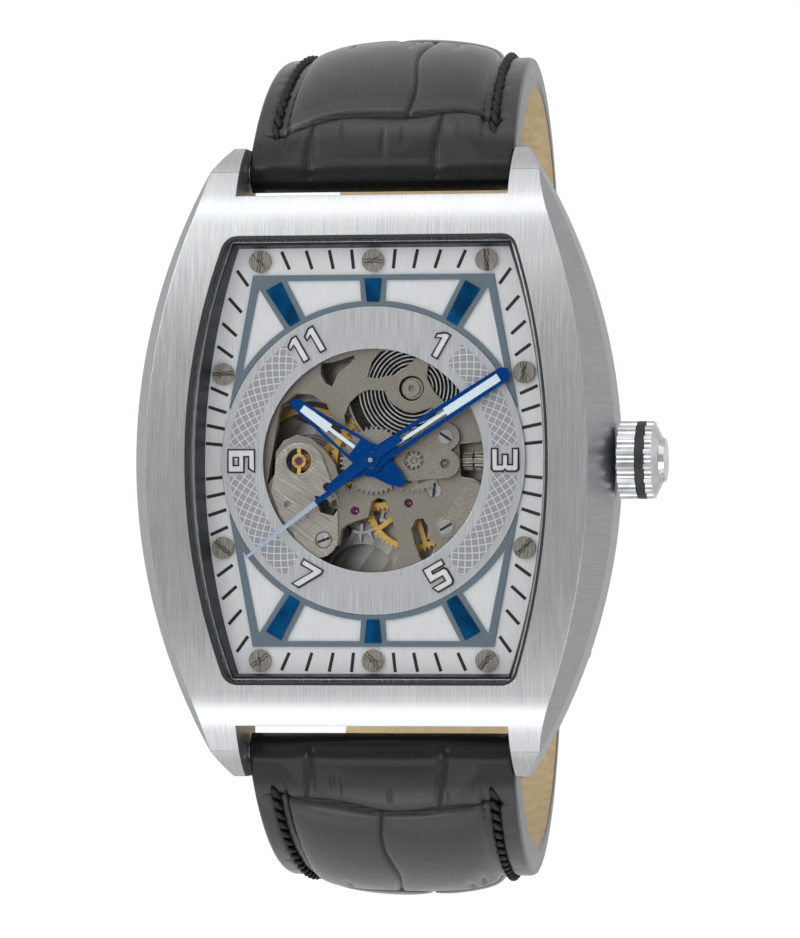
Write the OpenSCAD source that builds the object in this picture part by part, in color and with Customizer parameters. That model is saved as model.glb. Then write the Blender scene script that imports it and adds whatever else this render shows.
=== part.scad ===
/* [Case] */
// Half width of the case band at its waist
band_half_w = 21.2; // [20:0.1:23]
// Half width of the top face at its waist
top_half_w = 19.4; // [18.8:0.1:19.8]
// Distance from the case centre to the centre of each side arc
side_arc_offset = 30.5; // [28:0.5:36]
// Half length over the lugs
case_half_l = 27.6; // [27:0.1:29]
// Half length of the case between the lugs
case_end_y = 23.1; // [22.6:0.1:23.4]
// Gap between the two lugs of a pair
lug_gap = 24.0; // [22:0.5:25]
// Height of the case band's underside over the table
band_z = 40.9; // [38:0.1:42]
// Height of the band, from its underside to the seat of the dial
band_h = 7.45; // [7.2:0.05:8]
// Height of the bezel's crown over the seat of the dial
bezel_h = 4.5; // [4.4:0.05:5.6]
// Radius of the arch of the case top, from lug to lug
arch_r = 105; // [100:1:130]
// Radius that rounds the top down at each lug
lug_round_r = 10; // [9:0.5:11]
// Distance from the centre to where the arch meets the lug rounding
arch_end_y = 20.5; // [20.2:0.1:21]

/* [Opening and crystal] */
// Half width of the opening over the dial
open_half_w = 15.4; // [15.1:0.1:15.8]
// Half length of the opening over the dial
open_half_l = 19.0; // [18.7:0.1:19.4]
// Distance from the centre to the centre of the opening's side arcs
dial_arc_offset = 43.75; // [40:0.25:50]
// Thickness of the crystal
crystal_t = 1.2; // [1:0.1:1.3]
// Width of the ledge that carries the crystal
ledge_w = 0.55; // [0.45:0.05:0.8]
// Width of the black gasket round the crystal
gasket_w = 0.25; // [0.15:0.05:0.35]
// Radius of the rounded corners of the crystal
crystal_corner_r = 1.2; // [0.8:0.1:2]
// How far the foot of the inner flange reaches in over the dial
flange_in = 0.45; // [0.3:0.05:0.6]

/* [Dial] */
// Thickness of the dial plate
dial_t = 0.4; // [0.3:0.05:0.5]
// Width of the chapter ring, from its rim to the hole that shows the movement
ring_w = 3.7; // [3.5:0.05:3.9]
// Distance of the chapter ring from the side of the opening
ring_side_in = 1.95; // [1.8:0.05:2.1]
// Thickness of the chapter ring
ring_t = 0.3; // [0.2:0.05:0.4]
// Distance of the dial frame's ends from the ends of the opening
frame_end_in = 2.8; // [2.7:0.1:3]
// Half width of the raised dial frame at its top edge
frame_half_w = 10.65; // [10.4:0.05:10.9]
// Width of the bars of the dial frame
frame_bar = 0.5; // [0.4:0.05:0.6]
// Thickness of the dial frame
frame_t = 0.2; // [0.15:0.05:0.3]
// Radius of the dial screw heads
dial_screw_r = 0.98; // [0.8:0.02:1]
// Height of the applied numerals
numeral_h = 2.35; // [2:0.05:2.5]

/* [Hands] */
// Angle of the hour hand, clockwise from the top
hour_angle = -53.5; // [-180:0.5:180]
// Angle of the minute hand, clockwise from the top
minute_angle = 57.5; // [-180:0.5:180]
// Angle of the seconds hand, clockwise from the top
second_angle = 232.5; // [0:0.5:360]
// Gap between the hour hand's tip and the chapter ring
hour_tip_gap = 0.95; // [0.6:0.05:1.6]
// Gap between the minute hand's tip and the inner flange at its narrowest
minute_tip_gap = 0.65; // [0.4:0.05:1.5]
// How much shorter the seconds hand is than the minute hand
second_short = 0.2; // [0:0.1:2]
// Thickness of the hands
hand_t = 0.18; // [0.12:0.02:0.22]
// Height of the hour hand over the movement plate
hour_rise = 1.35; // [1.3:0.05:1.5]
// Step in height from one hand to the next
hand_step = 0.36; // [0.34:0.01:0.4]

/* [Movement] */
// Radius of the movement plate
plate_r = 13.75; // [13.6:0.05:14]
// Thickness of the movement plate
plate_t = 1.1; // [1:0.05:1.15]
// Thickness of the train wheels
wheel_t = 0.25; // [0.15:0.05:0.25]
// Angle of the third wheel's arbor, anticlockwise from three o'clock
third_dir = -51.2; // [-60:0.2:-45]
// Distance of the third wheel's arbor from the centre
third_dist = 4.74; // [4.6:0.02:4.8]
// Angle of the escape wheel's arbor
escape_dir = 247.9; // [244:0.1:250]
// Distance of the escape wheel's arbor from the centre
escape_dist = 4.7; // [4.66:0.02:4.8]
// Angle of the barrel's arbor
barrel_dir = 62.8; // [60:0.2:66]
// Distance of the barrel's arbor from the centre
barrel_dist = 7.08; // [7:0.02:7.1]
// Distance of the minute wheel's post from the centre
minute_wheel_dist = 3.6; // [3.5:0.02:3.7]
// Distance of the balance from the centre
balance_dist = 6.71; // [6.6:0.01:6.8]
// Radius of the balance wheel
balance_r = 4.9; // [4.4:0.1:5]
// Thickness of the mainspring's blade
mainspring_t = 0.15; // [0.1:0.01:0.16]
// Turns of the mainspring
mainspring_turns = 7; // [4:1:7]
// Thickness of the hairspring
hairspring_t = 0.08; // [0.06:0.01:0.1]
// Turns of the hairspring
hairspring_turns = 4; // [3:1:4]
// Radius of the winding weight
rotor_r = 13.2; // [12:0.1:13.4]
// Running clearance round arbors and posts
run_gap = 0.04; // [0.03:0.01:0.06]

/* [Crown] */
// Radius of the crown
crown_r = 3.4; // [3:0.1:3.6]
// Length of the crown
crown_l = 3.7; // [3.4:0.1:4.2]
// Number of flutes round the crown
crown_flutes = 16; // [12:1:24]
// Radius of each flute round the crown
flute_r = 0.5; // [0.3:0.05:0.55]
// How far outside the crown the flutes are centred
flute_out = 0.15; // [0.1:0.05:0.25]
// How far the crown pulls out to set the hands
crown_travel = 1.2; // [0.8:0.1:1.5]
// Depth of the winding stem's axis below the movement plate's top
stem_drop = 1.4; // [1.35:0.05:1.5]
// Radius of the winding stem
stem_r = 0.6; // [0.5:0.05:0.7]

/* [Strap] */
// Half width of the strap at the lugs
strap_half_w = 11.8; // [10.5:0.1:11.9]
// Half width of the strap at the buckle
strap_end_half_w = 10.0; // [9:0.1:10.4]
// Thickness of the strap where it wraps the spring bar
strap_lug_t = 3.6; // [3.2:0.1:3.8]
// Thickness of the strap under the wrist
strap_t = 2.0; // [1.8:0.1:2]
// Height of the strap's padding over its margins
strap_pad = 1.7; // [1.2:0.1:2.2]
// Width of the flat stitched margin
strap_margin = 3.0; // [2.4:0.1:3.4]
// Radius of the spring bars
bar_r = 0.9; // [0.75:0.05:1]
// Distance of the spring bars from the case centre
bar_y = 25.5; // [25.2:0.1:25.8]
// Height of the spring bars over the band's underside
bar_rise = 2.7; // [2.4:0.1:3.1]
// Widest reach of the strap's middle line from the case centre
loop_y = 35.6; // [34:0.1:37]
// Height at which the strap loop is widest
loop_z = 26; // [24:0.5:28]
// Thickness of the tail of the long strap
tail_t = 1.8; // [1.6:0.1:1.8]
// Thickness of the keepers' leather
keeper_t = 1.2; // [1:0.1:1.2]
// Width of each keeper along the strap
keeper_w = 5; // [4:0.5:6]
// How far the free keeper slides each way
keeper_travel = 2; // [1:0.5:3]
// Clearance between leather pieces that slide on each other
leather_gap = 0.3; // [0.3:0.05:0.4]

/* [Buckle] */
// Diameter of the buckle's wire
buckle_wire = 1.8; // [1.6:0.1:1.9]
// Length of the buckle from its pivot to its front bar
buckle_l = 10.5; // [9:0.5:12]
// Width of the buckle's tongue
tongue_w = 1.6; // [1.2:0.1:1.8]
// Thickness of the buckle's tongue
tongue_t = 0.8; // [0.6:0.1:0.9]

/* [Hidden] */
$fn = 96;
far = 200;
arc_fn = 240;

seat_z = band_z + band_h;
top_z = seat_z + bezel_h;
arch_z = top_z - arch_r;
arch_a = asin(arch_end_y / arch_r);
// Rounds that meet a curve at a tangent reach this much into it
tangent_lap = 0.003;
round_y = arch_end_y - lug_round_r * sin(arch_a);
round_z = arch_z + (arch_r - lug_round_r) * cos(arch_a);
dial_z = seat_z + dial_t;
plate_z = seat_z - 0.35;
ring_wall = 1.3;
cavity_r = plate_r + ring_wall;
dial_play = 0.1;
stem_z = plate_z - stem_drop;
bar_z = band_z + bar_rise;
ring_r = open_half_w - ring_side_in;
aperture_r = ring_r - ring_w;
frame_half_l = open_half_l - frame_end_in;
hour_reach = aperture_r - hour_tip_gap;
minute_reach = open_half_w - flange_in - minute_tip_gap;
second_reach = minute_reach - second_short;

function dirv(a) = [cos(a), sin(a)];
third_at = third_dist * dirv(third_dir);
escape_at = escape_dist * dirv(escape_dir);
barrel_at = barrel_dist * dirv(barrel_dir);
minute_at = [minute_wheel_dist, 0];
balance_at = [-balance_dist, 0];
fork_at = escape_at + 0.48 * (balance_at - escape_at);
crown_wheel_at = [8.6, 3.2];
cock_foot_at = [-9.8, -6.75];

// Depths below the movement plate's top, one level for each wheel
level_barrel = 1.55;
level_centre = 1.90;
level_third = 2.45;
level_ratchet = 2.70;
level_fourth = 3.00;
level_escape = 3.50;
level_pallet_bridge = 3.95;
level_bridge = 4.60;
level_balance = 4.70;
level_spring = 5.10;
level_cock = 5.80;
level_rotor = 6.55;
bridge_t = 0.8;
balance_h = 0.6;
cock_t = 0.5;
rotor_t = 0.5;

// Teeth of each wheel and pinion
n_barrel = 72;
n_centre_pinion = 12;
n_centre = 64;
n_third_pinion = 8;
n_third = 60;
n_fourth_pinion = 8;
n_fourth = 70;
n_escape_pinion = 7;
n_escape = 15;
n_cannon = 12;
n_minute = 36;
n_minute_pinion = 10;
n_hour = 40;
n_ratchet = 36;
n_crown_wheel = 40;

function dir_of(v) = atan2(v[1], v[0]);
// Module of a pair of wheels, from the distance of their arbors and their teeth
function pair_module(dist, n1, n2) = 2 * dist / (n1 + n2);
mod_barrel = pair_module(barrel_dist, n_barrel, n_centre_pinion);
mod_centre = pair_module(third_dist, n_centre, n_third_pinion);
mod_third = pair_module(third_dist, n_third, n_fourth_pinion);
mod_fourth = pair_module(escape_dist, n_fourth, n_escape_pinion);
mod_cannon = pair_module(minute_wheel_dist, n_cannon, n_minute);
mod_hour = pair_module(minute_wheel_dist, n_minute_pinion, n_hour);
mod_ratchet = pair_module(norm(crown_wheel_at - barrel_at), n_ratchet, n_crown_wheel);
escape_r = norm(fork_at - escape_at) * cos(30);

// Outline of one wheel: four points a tooth, the first tooth's middle at angle a0
function gear_points(n, m, a0) = [
  for (i = [0:n - 1], c = [[-0.32, -1.1], [-0.1, 0.8], [0.1, 0.8], [0.32, -1.1]])
    (n * m / 2 + c[1] * m) * dirv(a0 + (i + c[0]) * 360 / n)
];
// Angle of the partner's first tooth, so that a gap of it meets the tooth that faces it
function mesh_angle(a, n) = a + 180 + 180 / n;

module disc(r, z0, z1) {
  translate([0, 0, z0]) cylinder(r = r, h = z1 - z0);
}

module tube(r_out, r_in, z0, z1) {
  difference() {
    disc(r_out, z0, z1);
    disc(r_in, z0 - 1, z1 + 1);
  }
}

// A slab between two depths below the plate's top
module slab(top, bottom) {
  translate([0, 0, plate_z - bottom]) linear_extrude(bottom - top) children();
}

// A spoked wheel: rim with teeth, hub and arms
module spoked(n, m, a0, rim, hub, arms, arm_w) {
  r_in = n * m / 2 - 1.1 * m - rim;
  difference() {
    polygon(gear_points(n, m, a0));
    circle(r_in);
  }
  circle(hub);
  for (k = [0:arms - 1]) rotate(k * 360 / arms) translate([0, -arm_w / 2]) square([r_in + rim / 2, arm_w]);
}

// A limb from p to q with round ends, as wide as the two radii say
module limb(p, rp, q, rq) {
  d = q - p;
  l = norm(d);
  a = dir_of(d);
  s = acos((rp - rq) / l);
  translate(p) circle(rp);
  translate(q) circle(rq);
  k = limb_overlap;
  polygon([p + k * rp * dirv(a + s), q + k * rq * dirv(a + s), q + k * rq * dirv(a - s), p + k * rp * dirv(a - s)]);
}
limb_overlap = 0.99;

// A flat piece with holes: the first child is the outline, the rest are cut out
module blanked(z, t) {
  difference() {
    translate([0, 0, z]) linear_extrude(t) children(0);
    if ($children > 1) translate([0, 0, z - 1]) linear_extrude(t + 2) children([1:$children - 1]);
  }
}

// Barrel-shaped outline: two side arcs and straight ends
module tonneau(half_w, half_l, offset_c) {
  intersection() {
    translate([-offset_c, 0]) circle(half_w + offset_c, $fn = arc_fn);
    translate([offset_c, 0]) circle(half_w + offset_c, $fn = arc_fn);
    translate([-far / 2, -half_l]) square([far, 2 * half_l]);
  }
}

module dial_outline(half_w, half_l) {
  tonneau(half_w, half_l, dial_arc_offset);
}

// The same outline with rounded corners, each a circle that touches the end line and the side arc
module rounded_outline(half_w, half_l, r) {
  cy = half_l - r;
  cx = sqrt(pow(half_w + dial_arc_offset - r, 2) - cy * cy) - dial_arc_offset;
  a = atan2(cy, cx + dial_arc_offset);
  difference() {
    dial_outline(half_w, half_l);
    for (sx = [-1, 1], sy = [-1, 1]) polygon([[sx * cx, sy * cy], [sx * cx, sy * (half_l + r)],
      [sx * (cx + 2 * r), sy * (half_l + r)], [sx * (cx + 2 * r * cos(a)), sy * (cy + 2 * r * sin(a))]]);
  }
  for (sx = [-1, 1], sy = [-1, 1]) translate([sx * cx, sy * cy]) circle(r - 0.002);
}

// Body between two heights whose sides lean from one half width to another
module leaning_sides(w0, w1, z0, z1) {
  intersection_for (s = [-1, 1])
    translate([s * side_arc_offset, 0, z0])
      cylinder(r1 = w0 + side_arc_offset, r2 = w1 + side_arc_offset, h = z1 - z0, $fn = arc_fn);
}

// Everything under the arched top of the case
module under_arch() {
  rotate([90, 0, 90]) translate([0, 0, -far / 2]) linear_extrude(far) {
    intersection() {
      translate([0, arch_z]) circle(arch_r, $fn = arc_fn);
      translate([-arch_end_y, 0]) square([2 * arch_end_y, far]);
    }
    for (s = [-1, 1]) translate([s * round_y, round_z]) circle(lug_round_r + tangent_lap);
    translate([-round_y - lug_round_r, 0]) square([2 * (round_y + lug_round_r), round_z]);
  }
}

module arch_body(drop) {
  translate([-far / 2, 0, arch_z]) rotate([0, 90, 0]) cylinder(r = arch_r - drop, h = far, $fn = arc_fn);
}

module lug_slots() {
  for (s = [-1, 1]) translate([-lug_gap / 2, s > 0 ? case_end_y : -far - case_end_y, 0])
    cube([lug_gap, far, far]);
}

module bar_holes() {
  for (s = [-1, 1]) translate([-lug_gap / 2 - 1.2, s * bar_y, bar_z]) rotate([0, 90, 0])
    cylinder(r = bar_r * 0.55 + 0.05, h = lug_gap + 2.4);
}

module case_band() color("silver") difference() {
  intersection() {
    leaning_sides(band_half_w - 0.4, band_half_w, band_z, seat_z);
    translate([-far / 2, -case_half_l, 0]) cube([far, 2 * case_half_l, far]);
    under_arch();
  }
  lug_slots();
  bar_holes();
  disc(cavity_r, band_z - 1, seat_z + 1);
  translate([0, 0, stem_z]) rotate([0, 90, 0]) cylinder(r = crown_tube_r, h = far / 2);
  for (p = back_screw_spots) translate([p[0], p[1], band_z - 1]) cylinder(r = back_screw_r, h = 3);
}
crown_tube_r = 1.5;
back_screw_r = 0.5;
back_half_w = band_half_w - 3.2;
back_half_l = case_end_y - 4.9;
back_screw_spots = [for (sx = [-1, 1], sy = [-1, 1]) [sx * (back_half_w - 5.1), sy * (back_half_l - 3)]];

module bezel() color("silver") difference() {
  intersection() {
    leaning_sides(band_half_w, top_half_w, seat_z, top_z);
    translate([-far / 2, -case_half_l, 0]) cube([far, 2 * case_half_l, far]);
    under_arch();
    translate([-far / 2, -far / 2, seat_z]) cube([far, far, far]);
  }
  lug_slots();
  translate([0, 0, seat_z - 1]) linear_extrude(far) dial_outline(open_half_w, open_half_l);
  translate([0, 0, seat_z - 1]) linear_extrude(1 + dial_t + 0.1)
    dial_outline(open_half_w + ledge_w, open_half_l + ledge_w);
  difference() {
    translate([0, 0, seat_z]) linear_extrude(far)
      rounded_outline(open_half_w + ledge_w, open_half_l + ledge_w, crystal_corner_r + gasket_w);
    arch_body(crystal_t);
  }
}

module crystal() color("azure", 0.4) difference() {
  intersection() {
    translate([0, 0, seat_z]) linear_extrude(far)
      rounded_outline(open_half_w + ledge_w - gasket_w, open_half_l + ledge_w - gasket_w, crystal_corner_r);
    arch_body(0.05);
  }
  arch_body(crystal_t);
}

module crystal_gasket() color("black") difference() {
  intersection() {
    translate([0, 0, seat_z]) linear_extrude(far)
      rounded_outline(open_half_w + ledge_w, open_half_l + ledge_w, crystal_corner_r + gasket_w);
    arch_body(0.1);
  }
  translate([0, 0, seat_z]) linear_extrude(far)
    rounded_outline(open_half_w + ledge_w - gasket_w, open_half_l + ledge_w - gasket_w, crystal_corner_r);
  arch_body(crystal_t);
}

module inner_flange() color("dimgray") difference() {
  intersection() {
    translate([0, 0, dial_z]) linear_extrude(far) dial_outline(open_half_w, open_half_l);
    arch_body(crystal_t);
  }
  intersection() {
    intersection_for (s = [-1, 1]) translate([s * dial_arc_offset, 0, dial_z - 1])
      cylinder(r1 = flange_foot_r - flange_lean, r2 = flange_foot_r + 4 * flange_lean, h = 5, $fn = arc_fn);
    rotate([90, 0, 90]) translate([0, 0, -far / 2]) linear_extrude(far) polygon([
      [-flange_foot_y + flange_lean, dial_z - 1], [flange_foot_y - flange_lean, dial_z - 1],
      [flange_foot_y + 4 * flange_lean, dial_z + 4], [-flange_foot_y - 4 * flange_lean, dial_z + 4]
    ]);
  }
}
flange_foot_r = open_half_w + dial_arc_offset - flange_in;
flange_foot_y = open_half_l - flange_in;
flange_lean = 0.2;

back_t = 1.2;
back_z = band_z - back_t;
back_window_r = 11.5;
module case_back() color("silver") difference() {
  union() {
    translate([0, 0, back_z]) linear_extrude(back_t) tonneau(back_half_w, back_half_l, side_arc_offset);
    disc(cavity_r - 0.1, band_z, band_z + 0.3);
  }
  disc(back_window_r, back_z - 1, band_z + 1);
  disc(back_window_r + 0.8, back_z + 0.5, band_z + 1);
  for (p = back_screw_spots) translate([p[0], p[1], back_z - 1]) cylinder(r = back_screw_r + 0.1, h = 4);
  for (p = back_screw_spots) translate([p[0], p[1], back_z - 1]) cylinder(r = 1.1, h = 1.5);
}

module back_crystal() color("azure", 0.4) disc(back_window_r + 0.8, back_z + 0.5, band_z + 0.3);

module case_back_screws() color("silver")
  for (p = back_screw_spots) translate([p[0], p[1], back_z + 0.1]) difference() {
    union() {
      cylinder(r = 1.05, h = 0.4);
      cylinder(r = back_screw_r, h = 2.6);
    }
    translate([-2, -0.12, -1]) cube([4, 0.24, 1.2]);
  }

module crown_tube() color("silver") translate([0, 0, stem_z]) rotate([0, 90, 0]) difference() {
  translate([0, 0, cavity_r]) cylinder(r = crown_tube_r, h = crown_x - cavity_r - 0.1);
  translate([0, 0, cavity_r - 1]) cylinder(r = stem_r + run_gap, h = far / 8);
}
crown_x = band_half_w + 0.25;
crown_groove_x = 1.55;
crown_groove_w = 0.8;

// A fluted ring of the crown along its axis
module crown_fluted(x0, x1) {
  translate([0, 0, x0]) linear_extrude(x1 - x0) difference() {
    circle(crown_r);
    for (k = [0:crown_flutes - 1]) rotate(k * 360 / crown_flutes) translate([crown_r + flute_out, 0])
      circle(flute_r);
  }
}

module crown() color("silver") translate([crown_x, 0, stem_z]) rotate([0, 90, 0]) difference() {
  union() {
    crown_fluted(0, crown_groove_x);
    translate([0, 0, crown_groove_x]) cylinder(r = crown_r - 0.6, h = crown_groove_w);
    crown_fluted(crown_groove_x + crown_groove_w, crown_l - 0.7);
    translate([0, 0, crown_l - 0.7]) cylinder(r1 = crown_r - 0.15, r2 = crown_r - 1.1, h = 0.5);
    translate([0, 0, crown_l - 0.2]) cylinder(r1 = crown_r - 1.3, r2 = crown_r - 1.6, h = 0.45);
  }
  translate([0, 0, -1]) cylinder(r = stem_r, h = 2.6);
}

module crown_ring() color("black") translate([crown_x + crown_groove_x, 0, stem_z]) rotate([0, 90, 0])
  difference() {
    cylinder(r = crown_r - 0.02, h = crown_groove_w);
    translate([0, 0, -1]) cylinder(r = crown_r - 0.6, h = 3);
  }

stem_in_x = 7.4;
stem_gears_l = 2.3;
groove_x = 11.8;
groove_w = 0.5;
// Stem with its square, the winding pinion and the groove that the setting lever holds
module winding_stem() color("lightsteelblue") translate([0, 0, stem_z]) rotate([0, 90, 0]) {
  translate([0, 0, stem_in_x]) cylinder(r = 0.35, h = 1.3);
  translate([0, 0, stem_in_x + 0.2]) linear_extrude(0.9) polygon(gear_points(12, 0.12, 0));
  translate([0, 0, stem_in_x + 1.3]) linear_extrude(1.0) polygon(gear_points(14, 0.12, 0));
  translate([0, 0, stem_in_x + stem_gears_l]) cylinder(r = stem_r, h = groove_x - stem_in_x - stem_gears_l);
  translate([0, 0, groove_x]) cylinder(r = stem_r - 0.25, h = groove_w);
  translate([0, 0, groove_x + groove_w]) cylinder(r = stem_r, h = crown_x + 1.6 - groove_x - groove_w);
}

// The lever's nose sits in the stem's groove and moves out with it
module setting_lever() color("gray") difference() {
  translate([groove_x + run_gap, -1.5, stem_z - 1.2]) cube([groove_w - 2 * run_gap, 3, 0.9 + stem_r]);
  translate([groove_x - 1, 0, stem_z]) rotate([0, 90, 0]) cylinder(r = stem_r - 0.25 + run_gap, h = 3);
  translate([groove_x - 1, -stem_r + 0.25 - run_gap, stem_z]) cube([3, 2 * (stem_r - 0.25 + run_gap), 2]);
}

module stem_channel(r, x0) {
  translate([x0, 0, stem_z]) rotate([0, 90, 0]) cylinder(r = r, h = far / 4);
}

module movement_ring() color("gray") difference() {
  tube(cavity_r - 0.05, plate_r + 0.05, plate_z - level_rotor, seat_z);
  stem_channel(stem_r + 0.15, 5);
}

module dial_plate() color("whitesmoke") difference() {
  translate([0, 0, seat_z]) linear_extrude(dial_t) difference() {
    dial_outline(open_half_w + ledge_w - dial_play, open_half_l + ledge_w - dial_play);
    circle(aperture_r + 0.1);
  }
  for (p = dial_screw_spots) translate([p[0], p[1], seat_z - 1]) cylinder(r = 0.4, h = 2);
}

frame_foot_y = 4.6;
frame_foot_w = frame_half_w + 2.1;
frame_ring = 0.4;
side_screw_in = 2.1;
side_screw_y = 7.6;
dial_screw_spots = concat(
  [for (x = [-10, 0, 10], s = [-1, 1]) [x, s * (frame_half_l + 1.2)]],
  [for (sx = [-1, 1], sy = [-1, 1]) [sx * (open_half_w - side_screw_in), sy * side_screw_y]]
);

// Baton k at its angle, grown by a margin all round
module baton(k, grow) {
  r0 = ring_r + frame_ring - grow;
  r1 = frame_half_l + (abs(k) == 1 ? 1.4 : -0.35) + grow * 2;
  rotate(-k * 30) polygon([[-0.52 - grow, r0], [-0.75 - grow, r1], [0.75 + grow, r1], [0.52 + grow, r0]]);
}

// The upper half of the frame's outline, drawn in by a margin
module frame_half(inset) {
  polygon([
    [-frame_foot_w + inset, frame_foot_y], [-frame_half_w + inset * 1.25, frame_half_l - inset],
    [frame_half_w - inset * 1.25, frame_half_l - inset], [frame_foot_w - inset, frame_foot_y]
  ]);
}

module upper_batons(grow) {
  intersection() {
    union() for (k = [-1:1]) baton(k, grow);
    frame_half(0.3 - grow);
  }
}

module half_panels() {
  difference() {
    frame_half(frame_bar);
    circle(ring_r + frame_bar);
    for (k = [-1:1]) baton(k, frame_bar);
  }
}

module both_halves() {
  children();
  mirror([0, 1]) children();
}

module dial_frame() color("slategray") translate([0, 0, dial_z]) linear_extrude(frame_t) difference() {
  both_halves() frame_half(0);
  circle(ring_r);
  both_halves() half_panels();
  both_halves() upper_batons(0);
}

module hour_batons() color("darkblue") translate([0, 0, dial_z]) linear_extrude(frame_t + 0.15)
  both_halves() upper_batons(0);

module chapter_ring() color("lightgray") translate([0, 0, dial_z]) linear_extrude(ring_t) difference() {
  circle(ring_r - 0.02);
  circle(aperture_r);
}

// Numeral strokes in a box one unit high, centred, as outlines with straight edges
one_points = [[-0.02, -0.5], [0.22, -0.5], [0.22, 0.5], [0.02, 0.5], [-0.24, 0.3], [-0.24, 0.14], [-0.02, 0.25]];
three_points = [[-0.42, 0.5], [0.34, 0.5], [0.42, 0.42], [0.42, 0.06], [0.34, 0], [0.42, -0.06], [0.42, -0.42],
  [0.34, -0.5], [-0.42, -0.5], [-0.42, -0.28], [0.18, -0.28], [0.18, -0.1], [-0.2, -0.1], [-0.2, 0.1],
  [0.18, 0.1], [0.18, 0.28], [-0.42, 0.28]];
five_points = [[0.4, 0.5], [-0.4, 0.5], [-0.4, -0.06], [0.14, -0.06], [0.14, -0.26], [-0.42, -0.26], [-0.3, -0.5],
  [0.3, -0.5], [0.4, -0.38], [0.4, 0.08], [0.3, 0.18], [-0.14, 0.18], [-0.14, 0.28], [0.4, 0.28]];
seven_points = [[-0.42, 0.5], [0.42, 0.5], [0.42, 0.34], [-0.06, -0.5], [-0.36, -0.5], [0.1, 0.28], [-0.42, 0.28]];
nine_points = [[-0.42, 0.5], [0.42, 0.5], [0.42, -0.5], [-0.42, -0.5], [-0.28, -0.28], [0.16, -0.28], [0.16, -0.1],
  [-0.42, -0.1]];
numeral_r = (aperture_r + ring_r) / 2 + 0.05;

// One numeral at its clock angle: its top points outward, or inward when turned half round
module numeral(angle, points, shift, turn = 0) {
  rotate(-angle) translate([shift, numeral_r]) rotate(turn) scale(numeral_h) polygon(points);
}

module hour_numerals() color("gainsboro") translate([0, 0, dial_z + ring_t]) linear_extrude(0.12) {
  numeral(30, one_points, 0);
  numeral(-30, one_points, -0.95);
  numeral(-30, one_points, 0.75);
  numeral(90, three_points, 0);
  numeral(150, five_points, 0, 180);
  numeral(210, seven_points, 0, 180);
  difference() {
    numeral(270, nine_points, 0);
    rotate(-270) translate([-0.05 * numeral_h, numeral_r + 0.2 * numeral_h]) square(0.2 * numeral_h, center = true);
  }
}

module slotted_head(r, h, slot_w, slot_d) {
  difference() {
    cylinder(r = r, h = h);
    translate([-r - 0.1, -slot_w * 0.85, h - slot_d]) cube([r + 0.1, slot_w, slot_d + 1]);
    translate([0, -slot_w * 0.15, h - slot_d]) cube([r + 0.1, slot_w, slot_d + 1]);
  }
}

module dial_screws() color("darkgray")
  for (i = [0:len(dial_screw_spots) - 1]) let (p = dial_screw_spots[i]) translate([p[0], p[1], dial_z]) {
    rotate(90 + 37 * i) slotted_head(dial_screw_r, 0.35, 0.22, 0.15);
    translate([0, 0, -dial_t]) cylinder(r = 0.38, h = dial_t);
  }

// Skeleton hand pointing up: outline with a slot that the luminous strip fills in part
module hand_outline(tip, base_w, tip_w, tail_l, tail_w, tail_end) {
  polygon([[-base_w, 0], [-tip_w, tip - 0.5], [-tip_w * 0.5, tip], [tip_w * 0.5, tip], [tip_w, tip - 0.5], [base_w, 0],
    [tail_w, -tail_l + 1], [tail_end, -tail_l], [-tail_end, -tail_l], [-tail_w, -tail_l + 1]]);
}

module hand_slot(y0, y1, w0, w1) {
  polygon([[-w0, y0], [-w1, y1], [w1, y1], [w0, y0]]);
}

module lume_outline(y0, y1, step_y, thin, wide, end_w) {
  polygon([[-thin, y0], [-thin, step_y], [-wide, step_y], [-end_w, y1], [end_w, y1], [wide, step_y],
    [thin, step_y], [thin, y0]]);
}

hour_z = plate_z + hour_rise;
minute_z = hour_z + hand_step;
second_z = minute_z + hand_step;
cannon_r = 0.75;
hour_tube_r = 1.05;
arbor_r = 0.2;
hour_slot = [1.9, hour_reach - 1.1, 0.85, 0.33];
minute_slot = [2.5, minute_reach - 1.0, 0.42, 0.36];

module hour_hand() color("mediumblue") {
  rotate(-hour_angle) blanked(hour_z, hand_t) {
    hand_outline(hour_reach, 1.3, 0.5, 3.5, 0.8, 0.35);
    hand_slot(hour_slot[0], hour_slot[1], hour_slot[2], hour_slot[3]);
    circle(hour_tube_r);
  }
  tube(1.45, hour_tube_r, hour_z, hour_z + hand_t + 0.06);
}

module hour_hand_lume() color("whitesmoke") translate([0, 0, hour_z]) rotate(-hour_angle) linear_extrude(hand_t)
  lume_outline(hour_slot[0], hour_slot[1], hour_reach * 0.53, 0.16, 0.42, hour_slot[3]);

module minute_hand() color("mediumblue") {
  rotate(-minute_angle) blanked(minute_z, hand_t) {
    hand_outline(minute_reach, 0.85, 0.66, 4.6, 0.4, 0.2);
    hand_slot(minute_slot[0], minute_slot[1], minute_slot[2], minute_slot[3]);
    circle(cannon_r);
  }
  tube(1.15, cannon_r, minute_z, minute_z + hand_t + 0.06);
}

module minute_hand_lume() color("whitesmoke") translate([0, 0, minute_z]) rotate(-minute_angle)
  linear_extrude(hand_t)
    lume_outline(minute_slot[0], minute_slot[1], minute_reach * 0.54, 0.15, minute_slot[3], minute_slot[3]);

module second_hand() color("royalblue") translate([0, 0, second_z]) rotate(-second_angle) {
  linear_extrude(hand_t) difference() {
    union() {
      circle(0.72);
      hand_outline(second_reach, 0.3, 0.12, 3.3, 0.4, 0.38);
    }
    circle(arbor_r);
  }
  translate([0, 0, hand_t]) difference() {
    cylinder(r = 0.42, h = 0.15);
    translate([0, 0, -1]) cylinder(r = arbor_r, h = 2);
  }
}

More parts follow.
